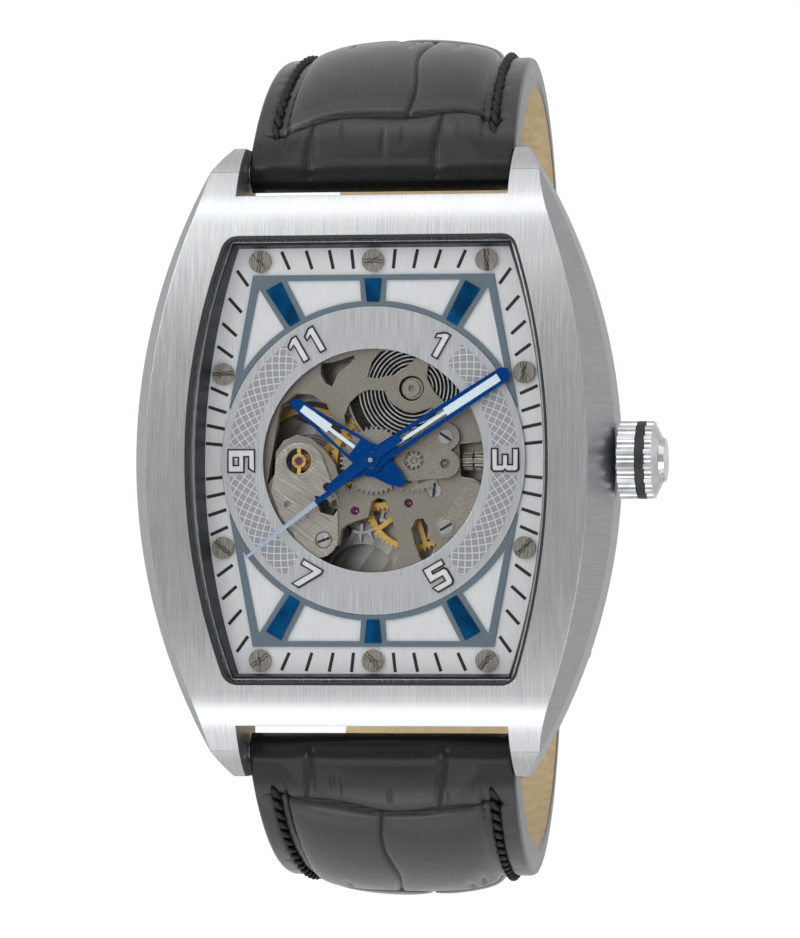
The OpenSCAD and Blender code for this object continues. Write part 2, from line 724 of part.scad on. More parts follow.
// Windows cut through the movement plate, as seen from the dial side
balance_window = [[-9.6, -2.2], [-8.9, -1.1], [-8.8, 0.8], [-8.1, 1.8], [-6.9, 2.3], [-5.7, 2], [-4.5, 1],
  [-3.5, -0.3], [-3.1, -1.8], [-2.2, -2.5], [-1.7, -1.6], [-1.7, 1.2], [-2.1, 2.2], [-2.7, 2.9], [-4, 4.2],
  [-4.3, 5], [-5.6, 5.8], [-7, 5.9], [-8.4, 4.9]];
centre_window = [[-2.6, 2.6], [-2.7, 4], [-2.3, 5], [-1.5, 5.8], [-0.6, 6.2], [0.8, 6.1], [1.2, 5.4], [1.6, 4.9],
  [2.4, 4.4], [3.8, 4.2], [5, 4.6], [5.6, 4.3], [4.6, 3], [3.2, 2], [1.7, 1.2], [-1.7, 1.2]];
spring_window_top = [[-0.7, 7.3], [-0.3, 8.6], [0.5, 9.6], [3.7, 9.6], [3.8, 9.2], [3.2, 8.5], [1.8, 7.5], [0.2, 7.2]];
spring_window_side = [[4.7, 8.4], [5.6, 8.6], [7.9, 6.6], [7.9, 5.6], [6.3, 4.9], [5.2, 6], [4.6, 7.2]];
corner_slot = [[-4.8, 8.6], [-3.9, 8.6], [-1.9, 9.2], [-1.7, 8.9], [-3.2, 7.7], [-3.8, 6.5], [-4.4, 6.8], [-4.8, 7.6]];
lower_window = [[-3, -6], [-3.2, -7.3], [-4.1, -8.1], [-5.7, -8.2], [-4.8, -9], [-3.2, -9.6], [-0.8, -10], [1.3, -10],
  [2.2, -7.8], [1.5, -5], [1.2, -4.1], [0.9, -3.4], [0.2, -3.2], [-0.3, -3.5], [-0.6, -4.9], [-1.9, -5.3], [-2.6, -5.6]];
arm_slot = [[3.2, -5.9], [3.6, -5.1], [4.2, -5], [4.7, -5.7], [4.6, -6.8], [5.3, -7.1], [5.4, -7.5], [4.5, -9],
  [4, -8.5], [3.5, -7.2]];
keyless_window = [[7.4, 1.4], [9.8, 1.7], [9.8, -2.4], [8.8, -1.6], [7.6, -1.4]];
escape_window = [[-5.3, -3], [-4.9, -3.1], [-3.9, -3.5], [-3.4, -3.3], [-3.2, -4.2], [-3.6, -4.8], [-4.8, -4.5]];

module plate_windows() {
  polygon(balance_window);
  polygon(centre_window);
  polygon(spring_window_top);
  polygon(spring_window_side);
  polygon(corner_slot);
  polygon(lower_window);
  polygon(arm_slot);
  polygon(keyless_window);
  polygon(escape_window);
}

jewel_r = 0.4;
jewel_spots = [third_at, escape_at, fork_at];
barrel_r = n_barrel * mod_barrel / 2 + mod_barrel;
web_t = 0.35;
pocket_h = 1 + plate_t - web_t;
stem_room_x = stem_in_x - 0.2;
module main_plate() color("darkgray") {
  translate(minute_at) disc(post_r - run_gap, plate_z, cover_z + cover_t);
  difference() {
    slab(0, plate_t) difference() {
      circle(plate_r);
      difference() {
        plate_windows();
        translate(jewel_spots[2]) circle(jewel_r + 0.6);
        circle(1.5);
      }
      for (p = jewel_spots) translate(p) circle(jewel_r);
      translate(balance_at) circle(shock_r);
      translate(barrel_at) circle(1.1);
      circle(centre_tube_r + run_gap);
      for (p = plate_screw_spots) translate(p) circle(0.35);
    }
    translate([barrel_at[0], barrel_at[1], plate_z - plate_t - 1]) cylinder(r = barrel_r + 0.15, h = pocket_h);
    stem_channel(stem_r + 0.15, stem_room_x);
    translate([stem_room_x, -1.4, plate_z - plate_t - 1]) cube([stem_gears_l + crown_travel + 0.4, 2.8, pocket_h]);
    translate([groove_x - 0.2, -1.7, plate_z - plate_t - 1]) cube([groove_w + crown_travel + 0.7, 3.4, far]);
    translate(plate_screw_spots[1]) disc(0.66, plate_z - sunk_t, plate_z + 1);
  }
}
centre_tube_r = 0.45;
plate_screw_spots = [[-4.49, -6.9], [5.23, -2.6], [6.4, 2.04], [6.34, -5.8]];

ear_t = 0.3;
shock_r = 1.35;
// The brushed plate that carries the balance's dial-side bearing
module balance_plate() color("silver") {
  translate(balance_at) tube(shock_r + 0.14, shock_r, plate_z, plate_z + ear_t + 0.04);
  blanked(plate_z, ear_t) {
    union() {
      limb(balance_at + [0.1, -0.6], 2.2, [-5.6, -3.8], 2.4);
      limb([-5.6, -3.8], 2.35, [-5.1, -6.6], 1.9);
      polygon([[-8.7, -0.6], [-9.2, -2.6], [-8.3, -4.9], [-6.6, -7.1], [-4, -4.4], [-3.4, -2.2]]);
    }
    translate(balance_at) circle(shock_r);
    translate(jewel_spots[2]) circle(jewel_r);
    translate(plate_screw_spots[0]) circle(0.8);
    translate([-7.7, -3.75]) circle(0.3);
    polygon(escape_window);
  }
}

cover_z = plate_z + 0.62;
cover_t = 0.2;
// The plate over the motion work, with the minute wheel's pinion in its round hole
module keyless_cover() color("darkgray") difference() {
  union() {
    translate([0, 0, cover_z]) linear_extrude(cover_t) difference() {
      union() {
        translate(minute_at) circle(1.8);
        limb(minute_at + [0.3, 0.9], 1.0, plate_screw_spots[2], 1.2);
        limb(minute_at + [0.4, -0.1], 1.6, [6.36, -0.29], 1.25);
        polygon([[4, 1.6], [6.4, 1.6], [6.9, -0.3], [4, -0.6]]);
      }
      translate(minute_at) circle(n_minute_pinion * mod_hour / 2 + mod_hour);
      translate([6.36, -0.29]) circle(0.45);
    }
    translate(plate_screw_spots[2]) disc(0.55, plate_z, cover_z);
  }
  translate(plate_screw_spots[2]) disc(0.35, plate_z - 1, cover_z + 1);
}

// The bent blade spring that holds the setting lever in its two positions
module setting_spring() color("silver") {
  translate(plate_screw_spots[3]) tube(0.85, 0.35, plate_z, plate_z + 0.3);
  blanked(plate_z, 0.26) {
    union() {
      limb([8.7, -2.9], 0.9, [7.6, -5.2], 1.3);
      limb([7.6, -5.2], 1.25, plate_screw_spots[3], 0.9);
    }
    translate(plate_screw_spots[3]) circle(0.6);
  }
}

sunk_t = 0.2;
module movement_screws() color("silver") {
  for (i = [0:3]) let (p = plate_screw_spots[i], z = plate_z + [0, -sunk_t, 0.82, 0.3][i]) translate([p[0], p[1], z]) {
    rotate(60 + 50 * i) slotted_head(0.62, 0.2, 0.16, 0.12);
    translate([0, 0, plate_z - z - 0.32]) cylinder(r = 0.33, h = z - plate_z + 0.32);
  }
}

pivot_r = 0.12;
module jewels() color("mediumvioletred")
  for (p = jewel_spots) translate([p[0], p[1], 0]) difference() {
    tube(jewel_r, pivot_r + run_gap, plate_z - plate_t, plate_z - 0.1);
    translate([0, 0, plate_z - 0.3]) cylinder(r1 = pivot_r, r2 = jewel_r - 0.08, h = 0.21);
  }

// Round setting with a lyre-shaped spring over the balance's jewel
module shock_setting() color("gold") translate([balance_at[0], balance_at[1], 0]) {
  difference() {
    union() {
      tube(shock_r - 0.01, shock_r - 0.22, plate_z - 0.3, plate_z + ear_t + 0.05);
      tube(0.62, 0.3, plate_z - 0.3, plate_z + 0.2);
      for (a = [90, 270]) rotate(a) translate([0.5, -0.16, plate_z - 0.1]) cube([shock_r - 0.6, 0.32, 0.25]);
      disc(0.32, plate_z - 0.1, plate_z + 0.1);
    }
    disc(pivot_r + run_gap, plate_z - 1, plate_z - 0.02);
  }
}

// One turn's worth of points on each side of a spiral blade
function spiral_side(r0, pitch, turns, steps, side) = [
  for (i = [0:turns * steps]) (r0 + pitch * i / steps + side) * dirv(i * 360 / steps)
];
function spiral_gap(inner, outer, steps) = min([
  for (i = [0:len(inner) - 1 - steps]) norm(inner[i + steps] - outer[i])
]);
spiral_steps = 30;
barrel_wall_r = barrel_r - 3.2 * mod_barrel;
spring_r0 = 1.25;
spring_pitch = (barrel_wall_r - 0.12 - mainspring_t - spring_r0) / mainspring_turns;
spring_inner = spiral_side(spring_r0, spring_pitch, mainspring_turns, spiral_steps, 0);
spring_outer = spiral_side(spring_r0, spring_pitch, mainspring_turns, spiral_steps, mainspring_t);
echo(mainspring_least_gap = spiral_gap(spring_inner, spring_outer, spiral_steps));
hair_r0 = 0.62;
hair_pitch = 0.5;
hair_inner = spiral_side(hair_r0, hair_pitch, hairspring_turns, spiral_steps, 0);
hair_outer = spiral_side(hair_r0, hair_pitch, hairspring_turns, spiral_steps, hairspring_t);
echo(hairspring_least_gap = spiral_gap(hair_inner, hair_outer, spiral_steps));

module ribbon(inner, outer) {
  polygon(concat(inner, [for (i = [len(outer) - 1:-1:0]) outer[i]]));
}

module barrel() color("silver") translate([barrel_at[0], barrel_at[1], 0]) difference() {
  union() {
    slab(level_barrel - 0.3, level_barrel)
      polygon(gear_points(n_barrel, mod_barrel, mesh_angle(barrel_dir, n_barrel)));
    slab(web_t + 0.1, level_barrel) circle(barrel_wall_r + 0.15);
  }
  disc(barrel_wall_r, plate_z - level_barrel + 0.18, plate_z + 1);
  disc(barrel_arbor_r - 0.25 + run_gap, plate_z - level_barrel - 1, plate_z);
}
barrel_arbor_r = 0.95;

module mainspring() color("dimgray") translate([barrel_at[0], barrel_at[1], 0])
  slab(web_t + 0.2, level_barrel - 0.22) ribbon(spring_inner, spring_outer);

module barrel_arbor() color("silver") translate([barrel_at[0], barrel_at[1], 0]) difference() {
  union() {
    slab(web_t + 0.1, level_barrel - 0.24) circle(barrel_arbor_r);
    slab(0.02, level_bridge - 0.1) circle(barrel_arbor_r - 0.25);
  }
  disc(0.3, plate_z - 0.6, plate_z + 1);
}

module ratchet_wheel() color("silver") translate([barrel_at[0], barrel_at[1], 0])
  slab(level_ratchet - 0.22, level_ratchet) difference() {
    polygon(gear_points(n_ratchet, mod_ratchet, dir_of(crown_wheel_at - barrel_at)));
    circle(barrel_arbor_r - 0.25);
  }

module crown_wheel() color("silver") translate([crown_wheel_at[0], crown_wheel_at[1], 0]) difference() {
  union() {
    slab(level_ratchet - 0.22, level_ratchet)
      polygon(gear_points(n_crown_wheel, mod_ratchet,
        mesh_angle(dir_of(crown_wheel_at - barrel_at), n_crown_wheel)));
    slab(level_ratchet, level_bridge - bridge_t - 0.05) circle(0.9);
  }
  disc(0.35, 0, far);
}

post_r = 0.3;
module cannon_pinion() color("silver") difference() {
  union() {
    slab(-0.28, -0.05) polygon(gear_points(n_cannon, mod_cannon, 0));
    disc(cannon_r, plate_z + 0.05, minute_z + hand_t);
  }
  disc(centre_tube_r, 0, far);
}

module minute_wheel() color("silver") translate([minute_at[0], minute_at[1], 0]) difference() {
  union() {
    slab(-0.25, -0.05) spoked(n_minute, mod_cannon, mesh_angle(0, n_minute), 0.5, 0.9, 4, 0.5);
    slab(-0.8, -0.25) polygon(gear_points(n_minute_pinion, mod_hour, 180));
  }
  disc(post_r, 0, far);
}

module hour_wheel() color("silver") difference() {
  union() {
    slab(-0.55, -0.35) polygon(gear_points(n_hour, mod_hour, mesh_angle(180, n_hour)));
    disc(hour_tube_r, plate_z + 0.35, hour_z + hand_t);
  }
  disc(cannon_r + run_gap, 0, far);
}

module centre_wheel() color("gold") difference() {
  union() {
    slab(level_centre - wheel_t, level_centre)
      spoked(n_centre, mod_centre, third_dir, 0.45, 1.1, 5, 0.45);
    slab(level_barrel - 0.32, level_centre - wheel_t)
      polygon(gear_points(n_centre_pinion, mod_barrel, barrel_dir));
    disc(centre_tube_r, plate_z - level_barrel, minute_z + hand_t + 0.05);
  }
  disc(arbor_r + run_gap, 0, far);
}

// Arbor between the plate's jewel and the bridge
module train_arbor(r, bottom) {
  slab(plate_t - 0.28, plate_t + 0.1) circle(pivot_r);
  slab(plate_t + 0.1, bridge_top - 0.05) circle(r);
  slab(bridge_top - 0.05, bottom) circle(pivot_r);
}

module third_wheel() color("gold") translate([third_at[0], third_at[1], 0]) {
  slab(level_third - wheel_t, level_third) spoked(n_third, mod_third, third_dir + 180, 0.42, 0.9, 5, 0.42);
  slab(level_centre - wheel_t - 0.1, level_third - wheel_t)
    polygon(gear_points(n_third_pinion, mod_centre, mesh_angle(third_dir, n_third_pinion)));
  train_arbor(arbor_r, level_bridge - 0.3);
}

module fourth_wheel() color("gold") {
  slab(level_fourth - wheel_t, level_fourth)
    spoked(n_fourth, mod_fourth, escape_dir, 0.4, 0.8, 5, 0.4);
  slab(level_third - wheel_t - 0.02, level_fourth - wheel_t)
    polygon(gear_points(n_fourth_pinion, mod_third, mesh_angle(third_dir + 180, n_fourth_pinion)));
  disc(arbor_r, plate_z - level_bridge + 0.3, second_z + hand_t + 0.15);
}

// Club-toothed escape wheel: each tooth leans forward
module escape_wheel() color("gold") translate([escape_at[0], escape_at[1], 0]) {
  slab(level_escape - 0.2, level_escape) {
    difference() {
      polygon([for (i = [0:n_escape - 1], c = [[0, 0.76], [6, 0.97], [4, 1], [8.5, 1.02], [10, 0.76]])
        c[1] * escape_r * 0.97 * dirv(fork_dir + 2 + i * 24 + c[0])]);
      circle(escape_r * 0.62);
    }
    circle(0.6);
    for (k = [0:3]) rotate(k * 90) translate([0, -0.15]) square([escape_r * 0.7, 0.3]);
  }
  slab(level_fourth - wheel_t - 0.05, level_escape - 0.2)
    polygon(gear_points(n_escape_pinion, mod_fourth, mesh_angle(escape_dir, n_escape_pinion)));
  train_arbor(arbor_r, level_bridge - 0.3);
}
fork_dir = dir_of(fork_at - escape_at);

// Lever with two pallet stones and a forked end towards the balance
module pallet_fork() color("silver") translate([fork_at[0], fork_at[1], 0]) {
  lever = norm(balance_at - fork_at);
  reach = escape_r * tan(30);
  slab(level_escape - 0.2, level_escape) rotate(fork_dir) difference() {
    union() {
      circle(0.5);
      polygon([[0, -0.28], [lever - 1.0, -0.14], [lever - 1.0, 0.14], [0, 0.28]]);
      translate([lever - 0.8, 0]) circle(0.42);
      for (s = [-1, 1]) limb([0, 0], 0.3, [-0.5, s * reach], 0.22);
    }
    translate([lever - 0.75, -0.13]) square([1, 0.26]);
  }
  slab(plate_t - 0.28, level_pallet_bridge - 0.15) circle(pivot_r);
}

module pallet_bridge() color("darkgray") difference() {
  union() {
    slab(level_escape + 0.1, level_pallet_bridge) limb(fork_at, 0.6, pallet_foot_at, 0.7);
    slab(plate_t, level_escape + 0.1) translate(pallet_foot_at) circle(0.6);
  }
  translate([fork_at[0], fork_at[1], 0]) disc(pivot_r + run_gap, 0, far);
}
pallet_foot_at = [-5.4, -5.4];

roller_r = 0.55;
module balance_wheel() color("goldenrod") translate([balance_at[0], balance_at[1], 0]) {
  slab(level_balance - balance_h, level_balance) difference() {
    circle(balance_r);
    circle(balance_r - 0.5);
  }
  slab(level_balance - 0.45, level_balance - 0.2) {
    circle(0.8);
    for (k = [0:1]) rotate(35 + k * 180) translate([0, -0.3]) square([balance_r - 0.3, 0.6]);
  }
  slab(plate_t, level_cock - cock_t - 0.02) circle(arbor_r);
  slab(0.1, level_cock - 0.2) circle(pivot_r);
  slab(level_escape + 0.05, level_escape + 0.25) circle(roller_r);
  slab(level_balance, level_spring + 0.02) circle(0.3);
}

module hairspring() color("steelblue") translate([balance_at[0], balance_at[1], 0]) {
  slab(level_spring - 0.2, level_spring) ribbon(hair_inner, hair_outer);
  slab(level_spring - 0.2, level_cock - cock_t) translate([hair_stud_r, 0]) circle(0.18);
}
hair_stud_r = hair_r0 + hair_pitch * hairspring_turns + hairspring_t / 2;

module balance_cock() color("silver") difference() {
  union() {
    slab(level_cock - cock_t, level_cock) {
      limb(balance_at, 1.4, cock_foot_at, 1.5);
      limb(balance_at, 1.4, balance_at + [hair_stud_r, 0], 0.5);
    }
    slab(plate_t, level_cock - cock_t) translate(cock_foot_at) circle(0.9);
  }
  translate([balance_at[0], balance_at[1], 0]) disc(pivot_r + run_gap, 0, far);
}

bridge_top = level_bridge - bridge_t;
bridge_split_y = 2.5;
module bridge_half(sign) {
  intersection() {
    circle(plate_r - 0.4);
    translate([-far / 2, sign > 0 ? bridge_split_y : bridge_split_y - 0.3 - far]) square([far, far]);
  }
}

module pillar(a) {
  slab(plate_t, bridge_top) rotate(a) translate([plate_r - 1.15, 0]) circle(0.7);
}

module train_bridge() color("gray") difference() {
  union() {
    slab(bridge_top, level_bridge) difference() {
      bridge_half(-1);
      translate(balance_at) circle(balance_r + 0.5);
      translate([-1.9, -10.4]) circle(3.2);
      translate(cock_foot_at) circle(1.1);
      limb(fork_at, 0.8, pallet_foot_at, 0.95);
    }
    for (a = [240, 300, 345]) pillar(a);
  }
  for (p = [third_at, escape_at]) translate([p[0], p[1], 0]) disc(pivot_r + run_gap, 0, plate_z - bridge_top + 1);
  disc(arbor_r + run_gap, 0, plate_z - bridge_top + 1);
}

module barrel_bridge() color("darkgray") difference() {
  union() {
    slab(bridge_top, level_bridge) difference() {
      bridge_half(1);
      translate(balance_at) circle(balance_r + 0.5);
    }
    for (a = [36, 118, 150]) pillar(a);
    translate([crown_wheel_at[0], crown_wheel_at[1], 0]) slab(level_ratchet - 0.4, bridge_top) circle(0.35 - run_gap);
  }
  translate([barrel_at[0], barrel_at[1], 0]) disc(barrel_arbor_r - 0.25 + run_gap, 0, plate_z - bridge_top + 1);
}

rotor_top = level_rotor - rotor_t;
rotor_pin_r = 0.8;
module rotor_axle() color("silver") {
  slab(level_bridge, level_rotor + 0.02) circle(rotor_pin_r);
  slab(level_rotor + 0.02, level_rotor + 0.12) circle(1.3);
}

// Half-round winding weight with a heavy rim, on its ball bearing at the centre
module rotor() color("silver") rotate(rotor_rest_a) difference() {
  union() {
    slab(rotor_top, level_rotor - 0.2) difference() {
      intersection() {
        circle(rotor_r - 0.5);
        translate([-far / 2, -far]) square([far, far + 0.8]);
      }
      for (a = [225, 315]) rotate(a) limb([5, 0], 1.2, [8.5, 0], 1.9);
    }
    slab(rotor_top - 0.1, level_rotor) difference() {
      intersection() {
        circle(rotor_r);
        translate([-far / 2, -far]) square([far, far]);
      }
      circle(rotor_r - 2);
    }
    slab(rotor_top, level_rotor) circle(2.2);
  }
  disc(rotor_pin_r + run_gap, 0, far);
}
rotor_rest_a = -20;

function arc_r(dy, dz) = (dy * dy + dz * dz) / (2 * dy);
upper_r = arc_r(loop_y - bar_y, bar_z - loop_z);
upper_a = atan2(bar_z - loop_z, upper_r - (loop_y - bar_y));
tail_mid_z = keeper_t + leather_gap + tail_t / 2;
short_mid_z = tail_mid_z + tail_t / 2 + 0.2 + strap_t / 2;
short_r = loop_z - short_mid_z;
tail_r = loop_z - tail_mid_z;
short_c = loop_y - short_r;
tail_c = loop_y - tail_r;
pivot_y = -6;

// A station of the strap: place across the loop, height, outward angle, thickness, half width, padding
function w_at(z) = strap_end_half_w + (strap_half_w - strap_end_half_w) * (z - short_mid_z) / (bar_z - short_mid_z);
function t_at(z) = strap_t + (strap_lug_t - strap_t) * pow(max(0, (z - short_mid_z) / (bar_z - short_mid_z)), 1.5);
function station(c, r, a, t, pad) =
  let (z = loop_z + r * sin(a)) [c + r * cos(a), z, a, t < 0 ? t_at(z) : t, w_at(z), pad];
function eye_station(back, t) = [bar_y - back * sin(upper_a), bar_z + back * cos(upper_a), upper_a, t, strap_half_w, 0];
eye_back = 1.5;
upper_steps = 11;
function upper_part() = [for (i = [1:upper_steps]) let (u = i / upper_steps)
  station(loop_y - upper_r, upper_r, upper_a * (1 - u), -1, strap_pad * min(1, u * 5))];
lower_steps = 12;
function lower_part(c, r, t1) = [for (i = [1:lower_steps]) let (u = i / lower_steps)
  station(c, r, -90 * u, strap_t + (t1 - strap_t) * u, strap_pad * max(0, 1 - u * 2.1))];
function flat_station(y, z, t, w) = [y, z, -90, t, w, 0];
eye_part = [eye_station(eye_back, strap_lug_t * 0.45), eye_station(eye_back * 0.65, strap_lug_t * 0.85),
  eye_station(0, strap_lug_t)];
short_stations = concat(eye_part, upper_part(), lower_part(short_c, short_r, strap_t),
  [for (y = [6, pivot_y + 1]) flat_station(y, short_mid_z, strap_t, strap_end_half_w),
   flat_station(pivot_y - 1.1, short_mid_z, strap_t * 0.7, strap_end_half_w)]);
tail_sweep = 38;
tail_steps = 6;
long_stations = concat(eye_part, upper_part(), lower_part(tail_c, tail_r, tail_t),
  [for (y = [4, -short_c]) flat_station(y, tail_mid_z, tail_t, strap_end_half_w)],
  [for (i = [1:tail_steps]) let (a = -90 - tail_sweep * i / tail_steps)
    [-short_c + tail_r * cos(a), loop_z + tail_r * sin(a), a, tail_t,
     strap_end_half_w * (i < tail_steps - 1 ? 1 : i < tail_steps ? 0.86 : 0.45), 0]]);

// Section of the strap: flat lining, margins and a crowned middle
crown_points = 9;
function section(s) = concat(
  [[-s[4], -s[3] / 2], [s[4], -s[3] / 2], [s[4], s[3] / 2 - 0.3], [s[4] - 0.4, s[3] / 2]],
  [for (i = [0:crown_points - 1]) let (u = 180 * i / (crown_points - 1))
    [(s[4] - strap_margin) * cos(u), s[3] / 2 + 0.02 + s[5] * pow(sin(u), 0.7)]],
  [[-s[4] + 0.4, s[3] / 2], [-s[4], s[3] / 2 - 0.3]]);
function placed(s) = [for (p = section(s)) [p[0], s[0] + p[1] * cos(s[2]), s[1] + p[1] * sin(s[2])]];

module swept_strap(stations) {
  n = len(section(stations[0]));
  rings = [for (s = stations) each placed(s)];
  m = len(stations);
  polyhedron(rings, concat(
    [[for (j = [0:n - 1]) j]],
    [[for (j = [n - 1:-1:0]) (m - 1) * n + j]],
    [for (i = [0:m - 2], j = [0:n - 1]) [i * n + j, (i + 1) * n + j, i * n + (j + 1) % n]],
    [for (i = [0:m - 2], j = [0:n - 1]) [(i + 1) * n + j, (i + 1) * n + (j + 1) % n, i * n + (j + 1) % n]]
  ));
}

module bar_bore(y, z, r) {
  translate([-far / 2, y, z]) rotate([0, 90, 0]) cylinder(r = r, h = far);
}

tongue_slot_w = tongue_w + 0.8;
pin_r = 0.75;
module strap_short() color([0.12, 0.12, 0.13]) difference() {
  swept_strap(short_stations);
  bar_bore(bar_y, bar_z, bar_r + 0.05);
  bar_bore(pivot_y, short_mid_z, pin_r + 0.03);
  translate([-tongue_slot_w / 2, pivot_y - 3, 0]) cube([tongue_slot_w, 5.6, 8]);
}

module strap_long() color([0.12, 0.12, 0.13]) difference() {
  mirror([0, 1, 0]) swept_strap(long_stations);
  bar_bore(-bar_y, bar_z, bar_r + 0.05);
  for (k = [0:4]) translate([0, pivot_y - 1.35 + 6 * (k - 1) + (k == 0 ? -1 : 0), 0]) linear_extrude(5)
    limb([0, -0.5], 1.1, [0, 0.5], 1.1001);
}

// Two bars between the lugs and one through the buckle
module spring_bars() color("silver") {
  for (s = [-1, 1]) translate([0, s * bar_y, bar_z]) rotate([0, 90, 0]) {
    cylinder(r = bar_r, h = lug_gap - 0.2, center = true);
    cylinder(r = bar_r * 0.55, h = lug_gap + 2.2, center = true);
  }
  translate([0, pivot_y, short_mid_z]) rotate([0, 90, 0])
    cylinder(r = pin_r, h = 2 * (buckle_half_w + buckle_wire) - 0.4, center = true);
}

buckle_half_w = strap_end_half_w + 0.5;
front_y = pivot_y - buckle_l;
// Frame of the buckle: two arms, a front bar under the tail and a notch for the tongue
module buckle() color("silver") difference() {
  union() {
    for (s = [-1, 1]) translate([s * (buckle_half_w + buckle_wire / 2), 0, 0])
      rotate([90, 0, 90]) translate([0, 0, -buckle_wire / 2]) linear_extrude(buckle_wire)
        limb([pivot_y, short_mid_z], 1.5, [front_y, 0.9], 0.9);
    translate([-buckle_half_w - buckle_wire, front_y, 0.65]) rotate([0, 90, 0])
      cylinder(r = 0.65, h = 2 * (buckle_half_w + buckle_wire));
  }
  bar_bore(pivot_y, short_mid_z, pin_r);
  translate([-tongue_w / 2 - 0.15, front_y - 2, -1]) cube([tongue_w + 0.3, 4, 1 + tongue_t + 0.2]);
}

tongue_bend = [pivot_y - 1.9, 1.0];
module buckle_tongue() color("silver") rotate([90, 0, 90]) translate([0, 0, -tongue_w / 2]) difference() {
  union() {
    translate([pivot_y, short_mid_z]) cylinder(r = pin_r + 0.45, h = tongue_w);
    linear_extrude(tongue_w) limb([pivot_y - 0.5, short_mid_z - 0.5], 0.42, tongue_bend, 0.41);
    linear_extrude(tongue_w) limb(tongue_bend, 0.4, [front_y - 0.6, 0.45], 0.35);
  }
  translate([pivot_y, short_mid_z, -1]) cylinder(r = pin_r + run_gap, h = tongue_w + 2);
}

keeper_top = short_mid_z + strap_t / 2 + leather_gap;
// A leather loop round both straps, at a place along the flat under the wrist
module keeper(y) {
  w = strap_end_half_w + leather_gap;
  translate([0, y + keeper_w / 2, 0]) rotate([90, 0, 0]) linear_extrude(keeper_w) difference() {
    translate([-w - keeper_t, 0]) square([2 * (w + keeper_t), keeper_top + keeper_t]);
    translate([-w, keeper_t]) square([2 * w, keeper_top - keeper_t]);
  }
}

module fixed_keeper() color([0.15, 0.15, 0.16]) keeper(0);

module free_keeper() color([0.15, 0.15, 0.16]) keeper(keeper_w + keeper_travel + 1);

case_band();
bezel();
inner_flange();
crystal();
crystal_gasket();
case_back();
back_crystal();
case_back_screws();
crown_tube();
crown();
crown_ring();
winding_stem();
setting_lever();
movement_ring();
dial_plate();
dial_frame();
chapter_ring();
hour_batons();
hour_numerals();
dial_screws();
hour_hand();
hour_hand_lume();
minute_hand();
minute_hand_lume();
second_hand();
main_plate();
balance_plate();
keyless_cover();
setting_spring();
movement_screws();
jewels();
shock_setting();
barrel();
mainspring();
barrel_arbor();
ratchet_wheel();
crown_wheel();
cannon_pinion();
minute_wheel();
hour_wheel();
centre_wheel();
third_wheel();
fourth_wheel();
escape_wheel();
pallet_fork();
pallet_bridge();
balance_wheel();
hairspring();
balance_cock();
train_bridge();
barrel_bridge();
rotor_axle();
rotor();
strap_short();
strap_long();
spring_bars();
buckle();
buckle_tongue();
fixed_keeper();
free_keeper();
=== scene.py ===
import math
import bpy
import numpy as np
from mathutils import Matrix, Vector


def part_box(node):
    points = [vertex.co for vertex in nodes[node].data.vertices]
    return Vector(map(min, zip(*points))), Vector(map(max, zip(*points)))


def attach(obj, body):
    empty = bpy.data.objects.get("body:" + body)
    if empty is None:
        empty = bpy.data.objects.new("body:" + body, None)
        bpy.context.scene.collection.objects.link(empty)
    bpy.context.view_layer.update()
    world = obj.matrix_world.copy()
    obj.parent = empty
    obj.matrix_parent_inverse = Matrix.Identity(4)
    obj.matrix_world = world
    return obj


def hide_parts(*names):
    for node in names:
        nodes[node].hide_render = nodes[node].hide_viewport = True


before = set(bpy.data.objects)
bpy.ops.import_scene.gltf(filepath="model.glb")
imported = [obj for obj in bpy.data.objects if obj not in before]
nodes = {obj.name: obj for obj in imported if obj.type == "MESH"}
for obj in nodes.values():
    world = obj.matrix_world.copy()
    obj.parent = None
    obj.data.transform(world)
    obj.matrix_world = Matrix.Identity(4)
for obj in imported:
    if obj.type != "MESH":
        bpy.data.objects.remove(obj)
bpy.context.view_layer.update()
mm = 0.001


def linearColour(hexText):
    parts = [int(hexText[i:i + 2], 16) / 255 for i in (1, 3, 5)]
    return [c / 12.92 if c <= 0.04045 else ((c + 0.055) / 1.055) ** 2.4 for c in parts] + [1]


def put(tree, kind, settings=None, sockets=None):
    node = tree.nodes.new(kind)
    for name, value in (settings or {}).items():
        setattr(node, name, value)
    for name, value in (sockets or {}).items():
        if isinstance(value, bpy.types.NodeSocket):
            tree.links.new(value, node.inputs[name])
        else:
            node.inputs[name].default_value = value
    return node


def startMaterial(name, colour, roughness, metallic=0.0, **more):
    material = bpy.data.materials.new(name)
    material.use_nodes = True
    tree = material.node_tree
    shader = tree.nodes["Principled BSDF"]
    shader.inputs["Base Color"].default_value = linearColour(colour)
    shader.inputs["Roughness"].default_value = roughness
    shader.inputs["Metallic"].default_value = metallic
    for key, value in more.items():
        shader.inputs[key.replace("_", " ")].default_value = value
    place = put(tree, "ShaderNodeTexCoord").outputs["Object"]
    return material, tree, shader, place


def speckle(tree, place, size, detail=3.0, stretch=(1, 1, 1), turn=0.0):
    # noise whose grains are as large as size, in millimetres, pulled out along an axis by stretch
    turned = put(tree, "ShaderNodeMapping", None, {"Vector": place, "Rotation": (0, 0, math.radians(turn))})
    scaled = put(tree, "ShaderNodeMapping", None,
                 {"Vector": turned.outputs["Vector"], "Scale": [1 / s for s in stretch]})
    return put(tree, "ShaderNodeTexNoise", None,
               {"Vector": scaled.outputs["Vector"], "Scale": 1 / (size * mm), "Detail": detail}).outputs["Fac"]


def blendColours(tree, factor, low, high, start=0.35, end=0.65):
    # two hex colours, blended over the part of the factor between start and end
    ramp = put(tree, "ShaderNodeValToRGB", None, {"Fac": factor})
    first, last = ramp.color_ramp.elements
    first.position, last.position = start, end
    first.color, last.color = linearColour(low), linearColour(high)
    return ramp.outputs["Color"]


